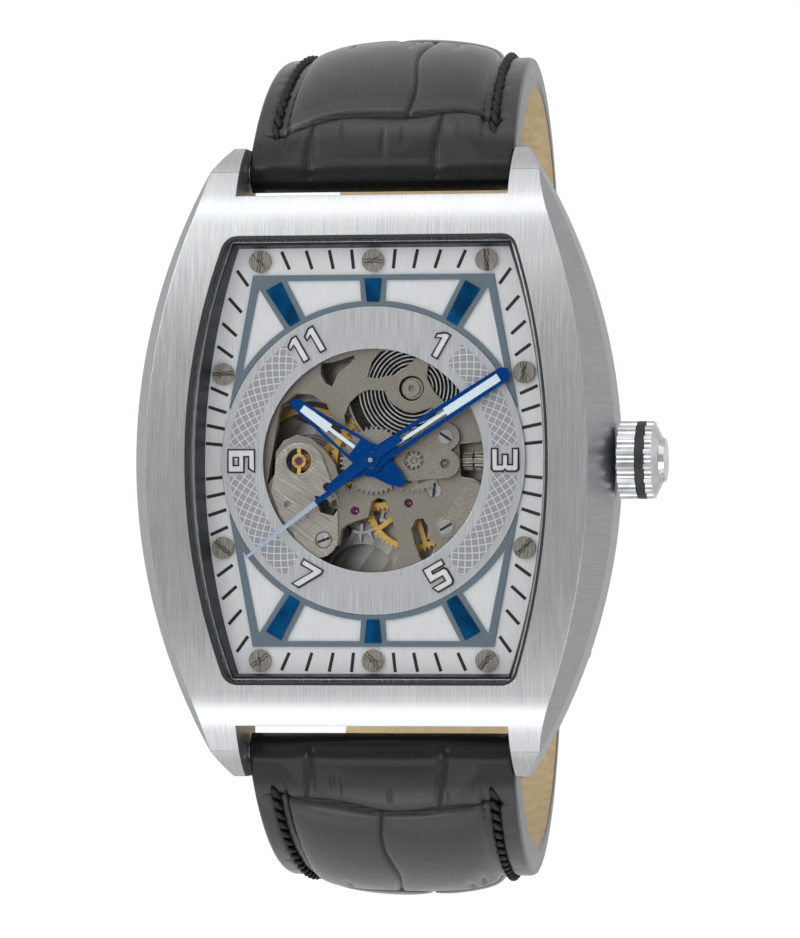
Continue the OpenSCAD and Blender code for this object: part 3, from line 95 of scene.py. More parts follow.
def varied(tree, shader, name, factor, low, high):
    # lets one of the shader's values wander between low and high
    between = put(tree, "ShaderNodeMapRange", None, {"Value": factor, "To Min": low, "To Max": high})
    tree.links.new(between.outputs["Result"], shader.inputs[name])


def raised(tree, shader, height, depth, strength=1.0, under=None, edge=None):
    # relief of this depth, in millimetres, over the relief under it; edge turns the normals over every edge as if
    # it had been broken by that radius
    sockets = {"Height": height, "Distance": depth * mm, "Strength": strength}
    if edge is not None:
        under = put(tree, "ShaderNodeBevel", {"samples": 4}, {"Radius": edge * mm}).outputs["Normal"]
    if under is not None:
        sockets["Normal"] = under
    bump = put(tree, "ShaderNodeBump", None, sockets)
    tree.links.new(bump.outputs["Normal"], shader.inputs["Normal"])
    return bump.outputs["Normal"]


# Metals; grain sizes, depths and edges are in millimetres. Real scratches are some 0.02 mm wide, and are drawn
# coarser here so that they show
def brushedMetal(name, low, high, roughness, size, stretch, depth=0.012, edge=0.05, turn=0.0):
    # ground with a belt: fine parallel scratches that pull the light out across them
    material, tree, shader, place = startMaterial(name, high, roughness, 1.0)
    scratch = speckle(tree, place, size, detail=4.0, stretch=stretch, turn=turn)
    patch = speckle(tree, place, size=2.6, detail=2.0)
    uneven = put(tree, "ShaderNodeMath", {"operation": "MULTIPLY_ADD"}, {0: patch, 1: 0.2, 2: scratch})
    colour = blendColours(tree, uneven.outputs["Value"], low, high, start=0.38, end=0.82)
    tree.links.new(colour, shader.inputs["Base Color"])
    varied(tree, shader, "Roughness", scratch, roughness - 0.07, roughness + 0.09)
    raised(tree, shader, scratch, depth, strength=0.5, edge=edge)
    return material


def polishedMetal(name, low, high, roughness):
    # buffed bright, with faint wiping marks that soften the reflections here and there
    material, tree, shader, place = startMaterial(name, high, roughness, 1.0)
    haze = speckle(tree, place, size=1.8)
    tree.links.new(blendColours(tree, haze, low, high), shader.inputs["Base Color"])
    varied(tree, shader, "Roughness", haze, roughness * 0.7, roughness * 1.5)
    orangePeel = speckle(tree, place, size=0.5, detail=2.0)
    raised(tree, shader, orangePeel, depth=0.003, strength=0.4, edge=0.05)
    return material


def stripedMetal(name, low, high, roughness, pitch, turn):
    # broad shallow stripes cut side by side; the colour across each runs from dark to bright, painted shading for the
    # way each one catches the light
    material, tree, shader, place = startMaterial(name, high, roughness, 1.0)
    turned = put(tree, "ShaderNodeMapping", None, {"Vector": place, "Rotation": (0, 0, math.radians(turn))})
    stripe = put(tree, "ShaderNodeTexWave", {"wave_type": "BANDS", "bands_direction": "X", "wave_profile": "SAW"},
                 {"Vector": turned.outputs["Vector"], "Scale": 2 * math.pi / (20 * pitch * mm)}).outputs["Fac"]
    # painted shading: each stripe runs from its dark colour to its bright one across its width
    tree.links.new(blendColours(tree, stripe, low, high, start=0.1, end=0.9), shader.inputs["Base Color"])
    raised(tree, shader, stripe, depth=0.05, strength=0.5, edge=0.05)
    return material


# the case's top and back: a soft gloss drawn out along its length
brushedCase = brushedMetal("brushed stainless steel", "#AEB0B2", "#C2C4C5", roughness=0.24, size=0.06,
                           stretch=(1, 60, 60), depth=0.0025, edge=0.12)
# its sides: upright streaks, duller than the top, and their colour painted darker than the top's as painted shade on
# the sides
flankBrushedAndShaded = brushedMetal("cross-brushed steel painted darker as shade", "#97999B", "#AAACAE", roughness=0.4, size=0.06,
                            stretch=(60, 1, 60), depth=0.0012, edge=0.12)
# crown, buckle and pins: nearly a mirror
polishedSteel = polishedMetal("polished stainless steel", "#B4B6B8", "#D6D8DA", roughness=0.1)
# plates of the movement: a short grain in warm grey, with little shine
frostedPlate = brushedMetal("straight-grained grey plate", "#868279", "#A9A498", roughness=0.34, size=0.05,
                            stretch=(5, 1, 5), depth=0.002, edge=0.09)
# its wheels and springs of nickel: a little brighter and warmer than steel
brightNickel = brushedMetal("straight-grained nickel", "#938F86", "#B5B0A5", roughness=0.3, size=0.05,
                            stretch=(6, 2, 6), depth=0.003)
# balance plate and cock: long slanting scratches that glitter
diagonalNickel = brushedMetal("diagonally ground nickel", "#97938B", "#DBD6CD", roughness=0.27, size=0.08,
                              stretch=(40, 1, 40), depth=0.006, edge=0.08, turn=35)
# floor of the barrel: painted nearly black, as painted shade in the recess under the mainspring
barrelFloorShade = brushedMetal("steel painted dark as shade", "#2C2A28", "#46423D", roughness=0.35, size=0.07,
                         stretch=(30, 1, 30), depth=0.004)
# bridges and rotor: broad stripes whose flash in turn is painted into their colour
stripedNickel = stripedMetal("striped nickel", "#A3A19C", "#C6C4BF", roughness=0.28, pitch=1.7, turn=35)
# gilded wheels: warm yellow, with fine turning marks
giltBrass = brushedMetal("gilt brass", "#D9A94E", "#FFD98C", roughness=0.3, size=0.07, stretch=(10, 1, 1),
                         depth=0.003, edge=0.03)
# springs: one bright, one blue from the heat
springSteel = polishedMetal("polished spring steel", "#B4B6B8", "#E2E4E6", roughness=0.16)
blueSpring = polishedMetal("heat-blued spring steel", "#18316B", "#2E57A8", roughness=0.18)
print("metals ready")


# Lacquers, glass and the rest
def lacquer(name, low, high, roughness, metallic, coat=0.0, grain=0.09, depth=0.004, stretch=(1, 1, 1), edge=0.04):
    # an even colour with a very fine grain: sprayed lacquer, paint and printing ink, and stone or rubber alike
    material, tree, shader, place = startMaterial(name, high, roughness, metallic,
                                                  Coat_Weight=coat, Coat_Roughness=0.08)
    fleck = speckle(tree, place, grain, detail=2.0, stretch=stretch)
    tree.links.new(blendColours(tree, fleck, low, high), shader.inputs["Base Color"])
    raised(tree, shader, fleck, depth, strength=0.5, edge=edge)
    return material


# dial and numerals: silver, brushed from end to end under a satin lacquer
silverDial = lacquer("satin silver dial lacquer", "#D2D4D6", "#DCDEE0", roughness=0.36, metallic=0.5, grain=0.06,
                     depth=0.002, stretch=(1, 30, 30))
# heads of the dial's screws: dull and a little brown
screwNickel = lacquer("worn nickel", "#7D7A73", "#A19E95", roughness=0.36, metallic=0.8, grain=0.12,
                      stretch=(1, 12, 12))
# frame lines, batons, rim and hands: the metal shines through the colour
greyBlueLacquer = lacquer("grey-blue dial lacquer", "#697883", "#82909A", roughness=0.28, metallic=0.8, edge=0.11)
deepBlueLacquer = lacquer("deep blue lacquer", "#003C68", "#005A90", roughness=0.26, metallic=0.9, grain=1.6)
flangeLacquer = lacquer("dark flange lacquer", "#14181E", "#232930", roughness=0.5, metallic=0.2)
handBlue = lacquer("bright blue lacquered steel", "#003E86", "#004E9E", roughness=0.26, metallic=0.9)
# chalky paint, matt ink, a stone like dark wine and rubber with no shine
lume = lacquer("pale luminous paint", "#B4C4CE", "#CBD8E0", roughness=0.6, metallic=0.0, grain=0.06, depth=0.012)
inkBlack = lacquer("black printing ink", "#040405", "#09090A", roughness=0.5, metallic=0.0, grain=0.05, depth=0.003)
rubyStone = lacquer("synthetic ruby", "#3C1238", "#641F4E", roughness=0.08, metallic=0.0, coat=1.0, grain=0.5,
                    depth=0.001)
blackRubber = lacquer("moulded black rubber", "#0D0D0E", "#18181A", roughness=0.5, metallic=0.0, grain=0.12,
                      depth=0.01)
secondsReach = 6.1  # where the seconds hand turns from blue to pale


def secondsFinish():
    # blue near the hub and pale beyond it, as one lacquered strip
    material, tree, shader, place = startMaterial("two-tone lacquered steel", "#2A6FC2",
                                                  roughness=0.26, metallic=0.85)
    flat = put(tree, "ShaderNodeVectorMath", {"operation": "MULTIPLY"}, {0: place})
    flat.inputs[1].default_value = (1, 1, 0)
    away = put(tree, "ShaderNodeVectorMath", {"operation": "LENGTH"}, {0: flat.outputs["Vector"]}).outputs["Value"]
    outer = put(tree, "ShaderNodeMath", {"operation": "GREATER_THAN"}, {0: away, 1: secondsReach * mm})
    colour = blendColours(tree, outer.outputs["Value"], "#004894", "#BFD3E4", start=0.4, end=0.6)
    tree.links.new(colour, shader.inputs["Base Color"])
    return material


secondsPaint = secondsFinish()


def glassFinish(name, low, high, roughness, alpha, ior, sheen):
    # ground flat and polished, with faint wiping marks in its gloss
    material, tree, shader, place = startMaterial(name, high, roughness, 0.0,
                                                  Alpha=alpha, IOR=ior, Specular_IOR_Level=sheen)
    haze = speckle(tree, place, size=4.0, detail=2.0, stretch=(1, 4, 1), turn=30)
    tree.links.new(blendColours(tree, haze, low, high), shader.inputs["Base Color"])
    varied(tree, shader, "Roughness", haze, roughness * 0.5, roughness * 1.5)
    return material


sapphire = glassFinish("coated sapphire glass", "#080A0E", "#0C1016", roughness=0.02, alpha=0.03, ior=1.5,
                       sheen=0.12)
# the back glass is tinted dark: painted shade over whatever is seen through the watch
shadeDarkenedGlass = glassFinish("mineral glass darkened as painted shade", "#141518", "#1A1B1E", roughness=0.03, alpha=0.34, ior=1.52,
                          sheen=0.5)
lattice = {"inner": 10.62, "outer": 12.78, "cell": 0.43, "line": 0.065, "spans": ((38.0, 84.0), (96.0, 142.0))}


def ringFinish():
    # satin ring with a diamond lattice cut into four stretches of it
    material, tree, shader, place = startMaterial("latticed satin silver", "#B9BCBF", roughness=0.33, metallic=0.7)
    axes = put(tree, "ShaderNodeSeparateXYZ", None, {"Vector": place})
    inner, outer, cell = lattice["inner"], lattice["outer"], lattice["cell"]
    # each step names a result and works it out from two earlier ones or numbers
    steps = [("xx", "MULTIPLY", "x", "x"), ("yy", "MULTIPLY", "y", "y"), ("both", "ADD", "xx", "yy"),
             ("away", "SQRT", "both", 0.0), ("bearing", "ARCTAN2", "x", "y"), ("turn", "ABSOLUTE", "bearing", 0.0),
             ("along", "MULTIPLY", "turn", (inner + outer) / 2 / cell / 2), ("out", "SUBTRACT", "away", inner * mm),
             ("across", "DIVIDE", "out", 2 * cell * mm),
             ("beyond", "GREATER_THAN", "away", inner * mm), ("inside", "LESS_THAN", "away", outer * mm),
             ("inRing", "MULTIPLY", "beyond", "inside")]
    for operation in ("ADD", "SUBTRACT"):
        steps += [("slant", operation, "along", "across"), ("wave", "PINGPONG", "slant", 0.5),
                  ("line", "LESS_THAN", "wave", lattice["line"] / cell / 2), ("lines", "MAXIMUM", "lines", "line")]
    for low, high in lattice["spans"]:
        steps += [("past", "GREATER_THAN", "turn", math.radians(low)),
                  ("before", "LESS_THAN", "turn", math.radians(high)),
                  ("one", "MULTIPLY", "past", "before"), ("inSpan", "MAXIMUM", "inSpan", "one")]
    steps += [("field", "MULTIPLY", "inRing", "inSpan"), ("cuts", "MULTIPLY", "lines", "field")]
    found = {"x": axes.outputs["X"], "y": axes.outputs["Y"], "lines": 0.0, "inSpan": 0.0}
    for result, operation, a, b in steps:
        found[result] = put(tree, "ShaderNodeMath", {"operation": operation},
                            {0: found.get(a, a), 1: found.get(b, b)}).outputs["Value"]
    brushing = speckle(tree, place, size=0.07, stretch=(1, 50, 50))
    plain = blendColours(tree, brushing, "#B0B3B6", "#CCCED0")
    cut = blendColours(tree, found["lines"], "#9FA3A7", "#DEE0E2", start=0.4, end=0.6)
    mixed = put(tree, "ShaderNodeMix", {"data_type": "RGBA"}, {"Factor": found["field"]})
    tree.links.new(plain, mixed.inputs[6])
    tree.links.new(cut, mixed.inputs[7])
    tree.links.new(mixed.outputs[2], shader.inputs["Base Color"])
    raised(tree, shader, found["cuts"], depth=0.03, strength=0.8)
    return material


latticedRing = ringFinish()


def leatherFinish(name, low, high, roughness, pore, depth, coat, crease, patch=3.5, embossed=False):
    # dressed calf or crocodile: fine pores and creases under wax; embossed leather is dull where it is pressed in
    sheen, pressedSheen = 0.3, 0.02
    material, tree, shader, place = startMaterial(name, high, roughness, 0.0, Coat_Weight=coat, Coat_Roughness=0.2,
                                                  Specular_IOR_Level=sheen)
    pores = speckle(tree, place, pore, detail=5.0)
    blotch = speckle(tree, place, patch)
    tree.links.new(blendColours(tree, blotch, low, high), shader.inputs["Base Color"])
    varied(tree, shader, "Roughness", pores, roughness - 0.1, roughness + 0.14)
    if embossed:
        pressed = put(tree, "ShaderNodeAttribute", {"attribute_name": "pressed"}).outputs["Fac"]
        varied(tree, shader, "Specular IOR Level", pressed, sheen, pressedSheen)
        varied(tree, shader, "Coat Weight", pressed, coat, 0.0)
    wrinkles = speckle(tree, place, size=0.9, stretch=(1, 5, 5))
    someplace = put(tree, "ShaderNodeMath", {"operation": "GREATER_THAN"}, {0: blotch, 1: 0.5}).outputs["Value"]
    folds = put(tree, "ShaderNodeMath", {"operation": "MULTIPLY"}, {0: wrinkles, 1: someplace}).outputs["Value"]
    under = raised(tree, shader, folds, crease, strength=0.8)
    lumps = speckle(tree, place, size=1.3, detail=5.0)
    uneven = raised(tree, shader, lumps, crease * 1.6, strength=0.8, under=under)
    raised(tree, shader, pores, depth, strength=0.8, under=uneven)
    return material


blackLeather = leatherFinish("waxed black crocodile leather", "#020203", "#0A0A0C", roughness=0.47, pore=0.16,
                             depth=0.16, coat=0.8, crease=0.14, embossed=True)
beigeLining = leatherFinish("beige calf lining", "#B9A47E", "#C6B28B", roughness=0.6, pore=0.25, depth=0.03,
                            coat=0.0, crease=0.02, patch=0.9)
keeperLeather = leatherFinish("smooth black leather", "#080809", "#141416", roughness=0.4, pore=0.14, depth=0.02,
                              coat=0.1, crease=0.03)
thread = leatherFinish("waxed black thread", "#040404", "#0B0B0C", roughness=0.6, pore=0.1, depth=0.02,
                       coat=0.1, crease=0.01)
print("lacquers and leathers ready")

barrelCentre, balanceCentre = [[(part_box(name)[0][k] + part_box(name)[1][k]) / 2 / mm for k in (0, 1)]
                               for name in ("barrel", "balance_wheel")]

finishes = {
    brushedCase: ("bezel", "case_band", "case_back"),
    polishedSteel: ("crown", "crown_tube", "case_back_screws", "movement_screws", "spring_bars", "buckle",
                    "buckle_tongue", "cannon_pinion", "escape_wheel", "pallet_fork", "rotor_axle"),
    screwNickel: ("dial_screws",),
    blackRubber: ("crown_ring", "crystal_gasket"),
    sapphire: ("crystal",),
    shadeDarkenedGlass: ("back_crystal",),
    flangeLacquer: ("inner_flange",),
    silverDial: ("dial_plate", "hour_numerals"),
    greyBlueLacquer: ("dial_frame",),
    deepBlueLacquer: ("hour_batons",),
    latticedRing: ("chapter_ring",),
    handBlue: ("hour_hand", "minute_hand"),
    lume: ("hour_hand_lume", "minute_hand_lume"),
    secondsPaint: ("second_hand",),
    frostedPlate: ("main_plate", "movement_ring", "keyless_cover", "pallet_bridge"),
    diagonalNickel: ("balance_plate", "balance_cock"),
    brightNickel: ("setting_spring", "setting_lever", "barrel", "ratchet_wheel", "crown_wheel", "minute_wheel",
                   "hour_wheel", "barrel_arbor", "winding_stem"),
    stripedNickel: ("train_bridge", "barrel_bridge", "rotor"),
    giltBrass: ("shock_setting", "centre_wheel", "third_wheel", "fourth_wheel", "balance_wheel"),
    rubyStone: ("jewels",),
    springSteel: ("mainspring",),
    blueSpring: ("hairspring",),
}
for material, names in finishes.items():
    for name in names:
        nodes[name].data.materials.clear()
        nodes[name].data.materials.append(material)


def faceFinish(name, material, chosen):
    # one more finish on the faces whose normal and centre pass the test
    mesh = nodes[name].data
    mesh.materials.append(material)
    for face in mesh.polygons:
        if chosen(face.normal, face.center / mm):
            face.material_index = len(mesh.materials) - 1


def within(spot, low, high):
    # true for faces whose centre lies between two distances from a spot
    return lambda normal, centre: low <= math.hypot(centre.x - spot[0], centre.y - spot[1]) < high


# The case's sides are brushed across and painted darker as shade, the seconds arbor is bright, the barrel's floor is
# painted dark as shade in its recess, and the gilt shock setting has a nickel ring and a ruby
turnedSide, arborZ, barrelFloor, shockRing, shockStone = 0.5, 49.0, 5.2, (1.08, 2.0), 0.42
for name in ("bezel", "case_band"):
    faceFinish(name, flankBrushedAndShaded, lambda normal, centre: abs(normal.x) > turnedSide)
faceFinish("fourth_wheel", polishedSteel, lambda normal, centre: centre.z > arborZ)
faceFinish("barrel", barrelFloorShade, within(barrelCentre, 0, barrelFloor))
faceFinish("shock_setting", diagonalNickel, within(balanceCentre, *shockRing))
faceFinish("shock_setting", rubyStone, within(balanceCentre, 0, shockStone))


def newTree(name, inputs):
    tree = bpy.data.node_groups.new(name, "GeometryNodeTree")
    tree.interface.new_socket("Geometry", in_out="INPUT", socket_type="NodeSocketGeometry")
    for label, kind in inputs.items():
        tree.interface.new_socket(label, in_out="INPUT", socket_type=kind)
    tree.interface.new_socket("Geometry", in_out="OUTPUT", socket_type="NodeSocketGeometry")
    return tree, put(tree, "NodeGroupInput").outputs


def closeTree(tree, geometry):
    put(tree, "NodeGroupOutput", None, {"Geometry": geometry})
    return tree


def addNodes(obj, tree, values):
    modifier = obj.modifiers.new(tree.name, "NODES")
    modifier.node_group = tree
    for item in tree.interface.items_tree:
        if item.in_out == "INPUT" and item.name in values:
            modifier[item.identifier] = values[item.name]


def meshObject(name, points, edges, faces):
    mesh = bpy.data.meshes.new(name)
    mesh.from_pydata([tuple(c * mm for c in p) for p in points], edges, faces)
    mesh.update()
    obj = bpy.data.objects.new(name, mesh)
    bpy.context.scene.collection.objects.link(obj)
    return obj


def settled(obj):
    # the evaluated shape as a plain mesh, with no modifier left
    bpy.context.view_layer.update()
    shape = bpy.data.meshes.new_from_object(obj.evaluated_get(bpy.context.evaluated_depsgraph_get()))
    obj.modifiers.clear()
    obj.data = shape
    return obj


def finishPiece(obj, body, replaced=()):
    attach(obj, body)
    if replaced:
        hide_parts(*replaced)
    return obj


# Rounded shading on the solids: faces that meet at a low angle shade as one surface
def shadeTree():
    tree, given = newTree("softShading", {"Angle": "NodeSocketFloat"})
    merged = put(tree, "GeometryNodeMergeByDistance", None, {"Geometry": given["Geometry"], "Distance": 1e-6})
    angle = put(tree, "GeometryNodeInputMeshEdgeAngle").outputs["Unsigned Angle"]
    sharp = put(tree, "FunctionNodeCompare", {"data_type": "FLOAT", "operation": "GREATER_THAN"},
                {"A": angle, "B": given["Angle"]}).outputs["Result"]
    smooth = put(tree, "GeometryNodeSetShadeSmooth", {"domain": "FACE"},
                 {"Geometry": merged.outputs["Geometry"], "Shade Smooth": True})
    edged = put(tree, "GeometryNodeSetShadeSmooth", {"domain": "EDGE"},
                {"Geometry": smooth.outputs["Geometry"], "Selection": sharp, "Shade Smooth": False})
    return closeTree(tree, edged.outputs["Geometry"])


softShading = shadeTree()
softAngle, bevelAngle = math.radians(28), math.radians(32)
# radii of the softened edges, in millimetres
bevelled = {"case_band": 0.12, "bezel": 0.16, "crown": 0.08, "crown_ring": 0.08, "buckle": 0.16,
            "buckle_tongue": 0.14, "chapter_ring": 0.05}
for name, obj in nodes.items():
    addNodes(obj, softShading, {"Angle": softAngle})
    if name in bevelled:
        edge = obj.modifiers.new("softEdge", "BEVEL")
        edge.width, edge.segments, edge.limit_method = bevelled[name] * mm, 2, "ANGLE"
        edge.angle_limit, edge.harden_normals = bevelAngle, True
print("frame finished")


# Minute ticks printed between the dial's frame and its rim
ticks = {"halfWidth": 13.2, "halfLength": 16.72, "arcOffset": 43.75, "length": 1.7, "width": 0.29, "height": 0.02,
         "skip": (15, 45), "clear": 1.35}
# the dial's ten screws: three along each end, two up each side
dialScrews = {"endX": (-10, 0, 10), "endY": 17.4, "sideX": 13.3, "sideY": 7.6}
screwSpots = [(x, s * dialScrews["endY"]) for x in dialScrews["endX"] for s in (-1, 1)]
screwSpots += [(sx * dialScrews["sideX"], sy * dialScrews["sideY"]) for sx in (-1, 1) for sy in (-1, 1)]


def tickTree():
    tree, given = newTree("printedTicks", {"Width": "NodeSocketFloat", "Length": "NodeSocketFloat",
                                           "Height": "NodeSocketFloat", "Ink": "NodeSocketMaterial"})
    size = put(tree, "ShaderNodeCombineXYZ", None, {"X": given["Width"], "Y": given["Length"], "Z": given["Height"]})
    block = put(tree, "GeometryNodeMeshCube", None, {"Size": size.outputs["Vector"]})
    spin = put(tree, "GeometryNodeInputNamedAttribute", {"data_type": "FLOAT"}, {"Name": "spin"})
    turn = put(tree, "ShaderNodeCombineXYZ", None, {"Z": spin.outputs["Attribute"]})
    placed = put(tree, "GeometryNodeInstanceOnPoints", None,
                 {"Points": given["Geometry"], "Instance": block.outputs["Mesh"], "Rotation": turn.outputs["Vector"]})
    real = put(tree, "GeometryNodeRealizeInstances", None, {"Geometry": placed.outputs["Instances"]})
    inked = put(tree, "GeometryNodeSetMaterial", None,
                {"Geometry": real.outputs["Geometry"], "Material": given["Ink"]})
    return closeTree(tree, inked.outputs["Geometry"])


def rimReach(angle):
    # distance from the centre to the barrel-shaped line inside the ticks
    c, w = ticks["arcOffset"], ticks["halfWidth"]
    s = abs(math.sin(angle))
    side = -c * s + math.sqrt(c * c * s * s + (w + c) ** 2 - c * c)
    return min(side, ticks["halfLength"] / max(1e-6, abs(math.cos(angle))))


def minuteTicks():
    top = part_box("dial_plate")[1].z / mm
    points, spins = [], []
    for k in range(60):
        angle = math.radians(6 * k)
        reach = rimReach(angle) + ticks["length"] / 2
        x, y = reach * math.sin(angle), reach * math.cos(angle)
        clear = all(math.hypot(x - a, y - b) > ticks["clear"] for a, b in screwSpots)
        if k not in ticks["skip"] and clear:
            points.append((x, y, top + ticks["height"] / 2))
            spins.append(-angle)
    obj = meshObject("minuteTicks", points, [], [])
    obj.data.attributes.new("spin", "FLOAT", "POINT").data.foreach_set("value", spins)
    addNodes(obj, tickTree(), {"Width": ticks["width"] * mm, "Length": ticks["length"] * mm,
                               "Height": ticks["height"] * mm, "Ink": inkBlack})
    finishPiece(settled(obj), "case")


minuteTicks()

# Black outlines round the applied numerals
numerals = {"height": 2.35, "radius": 11.65, "line": 0.1}
glyphs = {
    "one": [(-0.02, -0.5), (0.22, -0.5), (0.22, 0.5), (0.02, 0.5), (-0.24, 0.3), (-0.24, 0.14), (-0.02, 0.25)],
    "three": [(-0.42, 0.5), (0.34, 0.5), (0.42, 0.42), (0.42, 0.06), (0.34, 0), (0.42, -0.06), (0.42, -0.42),
              (0.34, -0.5), (-0.42, -0.5), (-0.42, -0.28), (0.18, -0.28), (0.18, -0.1), (-0.2, -0.1), (-0.2, 0.1),
              (0.18, 0.1), (0.18, 0.28), (-0.42, 0.28)],
    "five": [(0.4, 0.5), (-0.4, 0.5), (-0.4, -0.06), (0.14, -0.06), (0.14, -0.26), (-0.42, -0.26), (-0.3, -0.5),
             (0.3, -0.5), (0.4, -0.38), (0.4, 0.08), (0.3, 0.18), (-0.14, 0.18), (-0.14, 0.28), (0.4, 0.28)],
    "seven": [(-0.42, 0.5), (0.42, 0.5), (0.42, 0.34), (-0.06, -0.5), (-0.36, -0.5), (0.1, 0.28), (-0.42, 0.28)],
    "nine": [(-0.42, 0.5), (0.42, 0.5), (0.42, -0.5), (-0.42, -0.5), (-0.28, -0.28), (0.16, -0.28), (0.16, -0.1),
             (-0.42, -0.1)],
    "nineEye": [(-0.17, 0.1), (0.13, 0.1), (0.13, 0.3), (-0.17, 0.3)],
}
lettering = [("one", 30, 0, 0), ("one", -30, -0.95, 0), ("one", -30, 0.75, 0), ("three", 90, 0, 0),
             ("five", 150, 0, 180), ("seven", 210, 0, 180), ("nine", 270, 0, 0), ("nineEye", 270, 0, 0)]


def numeralLines():
    curve = bpy.data.curves.new("numeralLines", "CURVE")
    curve.dimensions, curve.bevel_depth, curve.bevel_resolution = "3D", numerals["line"] * mm, 1
    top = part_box("hour_numerals")[1].z
    for glyph, clock, shift, turn in lettering:
        spline = curve.splines.new("POLY")
        spline.points.add(len(glyphs[glyph]) - 1)
        spline.use_cyclic_u = True
        a, t = math.radians(-clock), math.radians(turn)
        for point, (gx, gy) in zip(spline.points, glyphs[glyph]):
            x = (gx * math.cos(t) - gy * math.sin(t)) * numerals["height"] + shift
            y = (gx * math.sin(t) + gy * math.cos(t)) * numerals["height"] + numerals["radius"]
            point.co = ((x * math.cos(a) - y * math.sin(a)) * mm, (x * math.sin(a) + y * math.cos(a)) * mm, top, 1)
    curve.materials.append(inkBlack)
    source = bpy.data.objects.new("numeralCurve", curve)
    bpy.context.scene.collection.objects.link(source)
    bpy.context.view_layer.update()
    shape = bpy.data.meshes.new_from_object(source.evaluated_get(bpy.context.evaluated_depsgraph_get()))
    bpy.data.objects.remove(source)
    obj = bpy.data.objects.new("numeralLines", shape)
    bpy.context.scene.collection.objects.link(obj)
    finishPiece(obj, "case")


numeralLines()

# Slots of the dial's screws: two wavy lines side by side, turned from screw to screw, drawn as black lines on the
# heads, painted shade for the shade down in the grooves
slots = {"radius": 0.94, "line": 0.04, "half": 0.12, "firstTurn": 35, "turnStep": 47}
slotPath = [(-0.97, 0.0), (-0.5, 0.07), (-0.3, -0.12), (0.05, 0.1), (0.3, -0.07), (0.62, 0.1), (0.97, 0.0)]


def slotTree():
    tree, given = newTree("slotShadeLines", {"Line": "NodeSocketFloat", "Ink": "NodeSocketMaterial"})
    curve = put(tree, "GeometryNodeMeshToCurve", None, {"Mesh": given["Geometry"]})
    profile = put(tree, "GeometryNodeCurvePrimitiveCircle", None, {"Resolution": 6, "Radius": given["Line"]})
    tube = put(tree, "GeometryNodeCurveToMesh", None,
               {"Curve": curve.outputs["Curve"], "Profile Curve": profile.outputs["Curve"]})
    real = put(tree, "GeometryNodeRealizeInstances", None, {"Geometry": tube.outputs["Mesh"]})
    # black lines: painted shade where the slots are cut, not print
    inked = put(tree, "GeometryNodeSetMaterial", None,
                {"Geometry": real.outputs["Geometry"], "Material": given["Ink"]})
    return closeTree(tree, inked.outputs["Geometry"])


def screwSlots():
    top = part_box("dial_screws")[1].z / mm
    points, edges = [], []
    for i, (sx, sy) in enumerate(screwSpots):
        t = math.radians(slots["firstTurn"] + slots["turnStep"] * i)
        for shift in (-slots["half"], slots["half"]):
            first = len(points)
            for px, py in slotPath:
                u, v = px * slots["radius"], py * slots["radius"] + shift
                points.append((sx + u * math.cos(t) - v * math.sin(t), sy + u * math.sin(t) + v * math.cos(t), top))
            edges += [(first + k, first + k + 1) for k in range(len(slotPath) - 1)]
    obj = meshObject("screwSlots", points, edges, [])
    addNodes(obj, slotTree(), {"Line": slots["line"] * mm, "Ink": inkBlack})
    finishPiece(settled(obj), "case")


screwSlots()

# Slots of the movement's screws: straight, three lines wide, drawn in black as painted shade for the grooves
smallSlots = {"reach": 0.93, "shifts": (-0.07, 0.0, 0.07), "line": 0.045, "firstTurn": 20, "turnStep": 63,
              "spacing": 1.3}


def islandSpots(name):
    # the middle, top and radius of each separate solid in a node, found by joining corners that lie close together
    spots = []
    for corner in nodes[name].data.vertices:
        x, y, z = (nodes[name].matrix_world @ corner.co) / mm
        for spot in spots:
            if math.hypot((spot[0] + spot[1]) / 2 - x, (spot[2] + spot[3]) / 2 - y) < smallSlots["spacing"]:
                spot[:] = [min(spot[0], x), max(spot[1], x), min(spot[2], y), max(spot[3], y), max(spot[4], z)]
                break
        else:
            spots.append([x, x, y, y, z])
    return [((a + b) / 2, (c + d) / 2, top, (b - a) / 2) for a, b, c, d, top in spots]


def plainSlots():
    points, edges = [], []
    for i, (x, y, top, radius) in enumerate(islandSpots("movement_screws")):
        t = math.radians(smallSlots["firstTurn"] + smallSlots["turnStep"] * i)
        for shift in smallSlots["shifts"]:
            edges.append((len(points), len(points) + 1))
            points += [(x + s * smallSlots["reach"] * radius * math.cos(t) - shift * math.sin(t),
                        y + s * smallSlots["reach"] * radius * math.sin(t) + shift * math.cos(t), top)
                       for s in (-1, 1)]
    obj = meshObject("movementScrewSlots", points, edges, [])
    addNodes(obj, slotTree(), {"Line": smallSlots["line"] * mm, "Ink": inkBlack})
    finishPiece(settled(obj), "case")


plainSlots()
print("dial printed")

# Leather straps, swept along the closed loop; tip is the share of the tail where its end starts to round
strap = {"barY": 25.5, "barZ": 43.6, "loopY": 35.6, "loopZ": 26.0, "eyeBack": 1.5, "lugHalf": 11.8, "endHalf": 10.0,
         "lugThick": 3.6, "thick": 2.0, "pad": 1.7, "margin": 3.0, "shortZ": 4.5, "tailZ": 2.4, "tailThick": 1.8,
         "pivotY": -6.0, "tailSweep": 38.0, "tip": 0.62, "step": 0.26, "across": 120, "lining": 12, "edge": 0.5,
         "edgeDrop": 0.35, "crown": 0.42, "sideIn": 0.12, "liningIn": 0.05, "taper": 1.5, "eyeRound": 0.8,
         "padIn": 5, "padOut": 2.1, "turnedIn": 9.0, "foldEnd": 4.4, "foldFade": 2.4, "foldDull": 0.5}
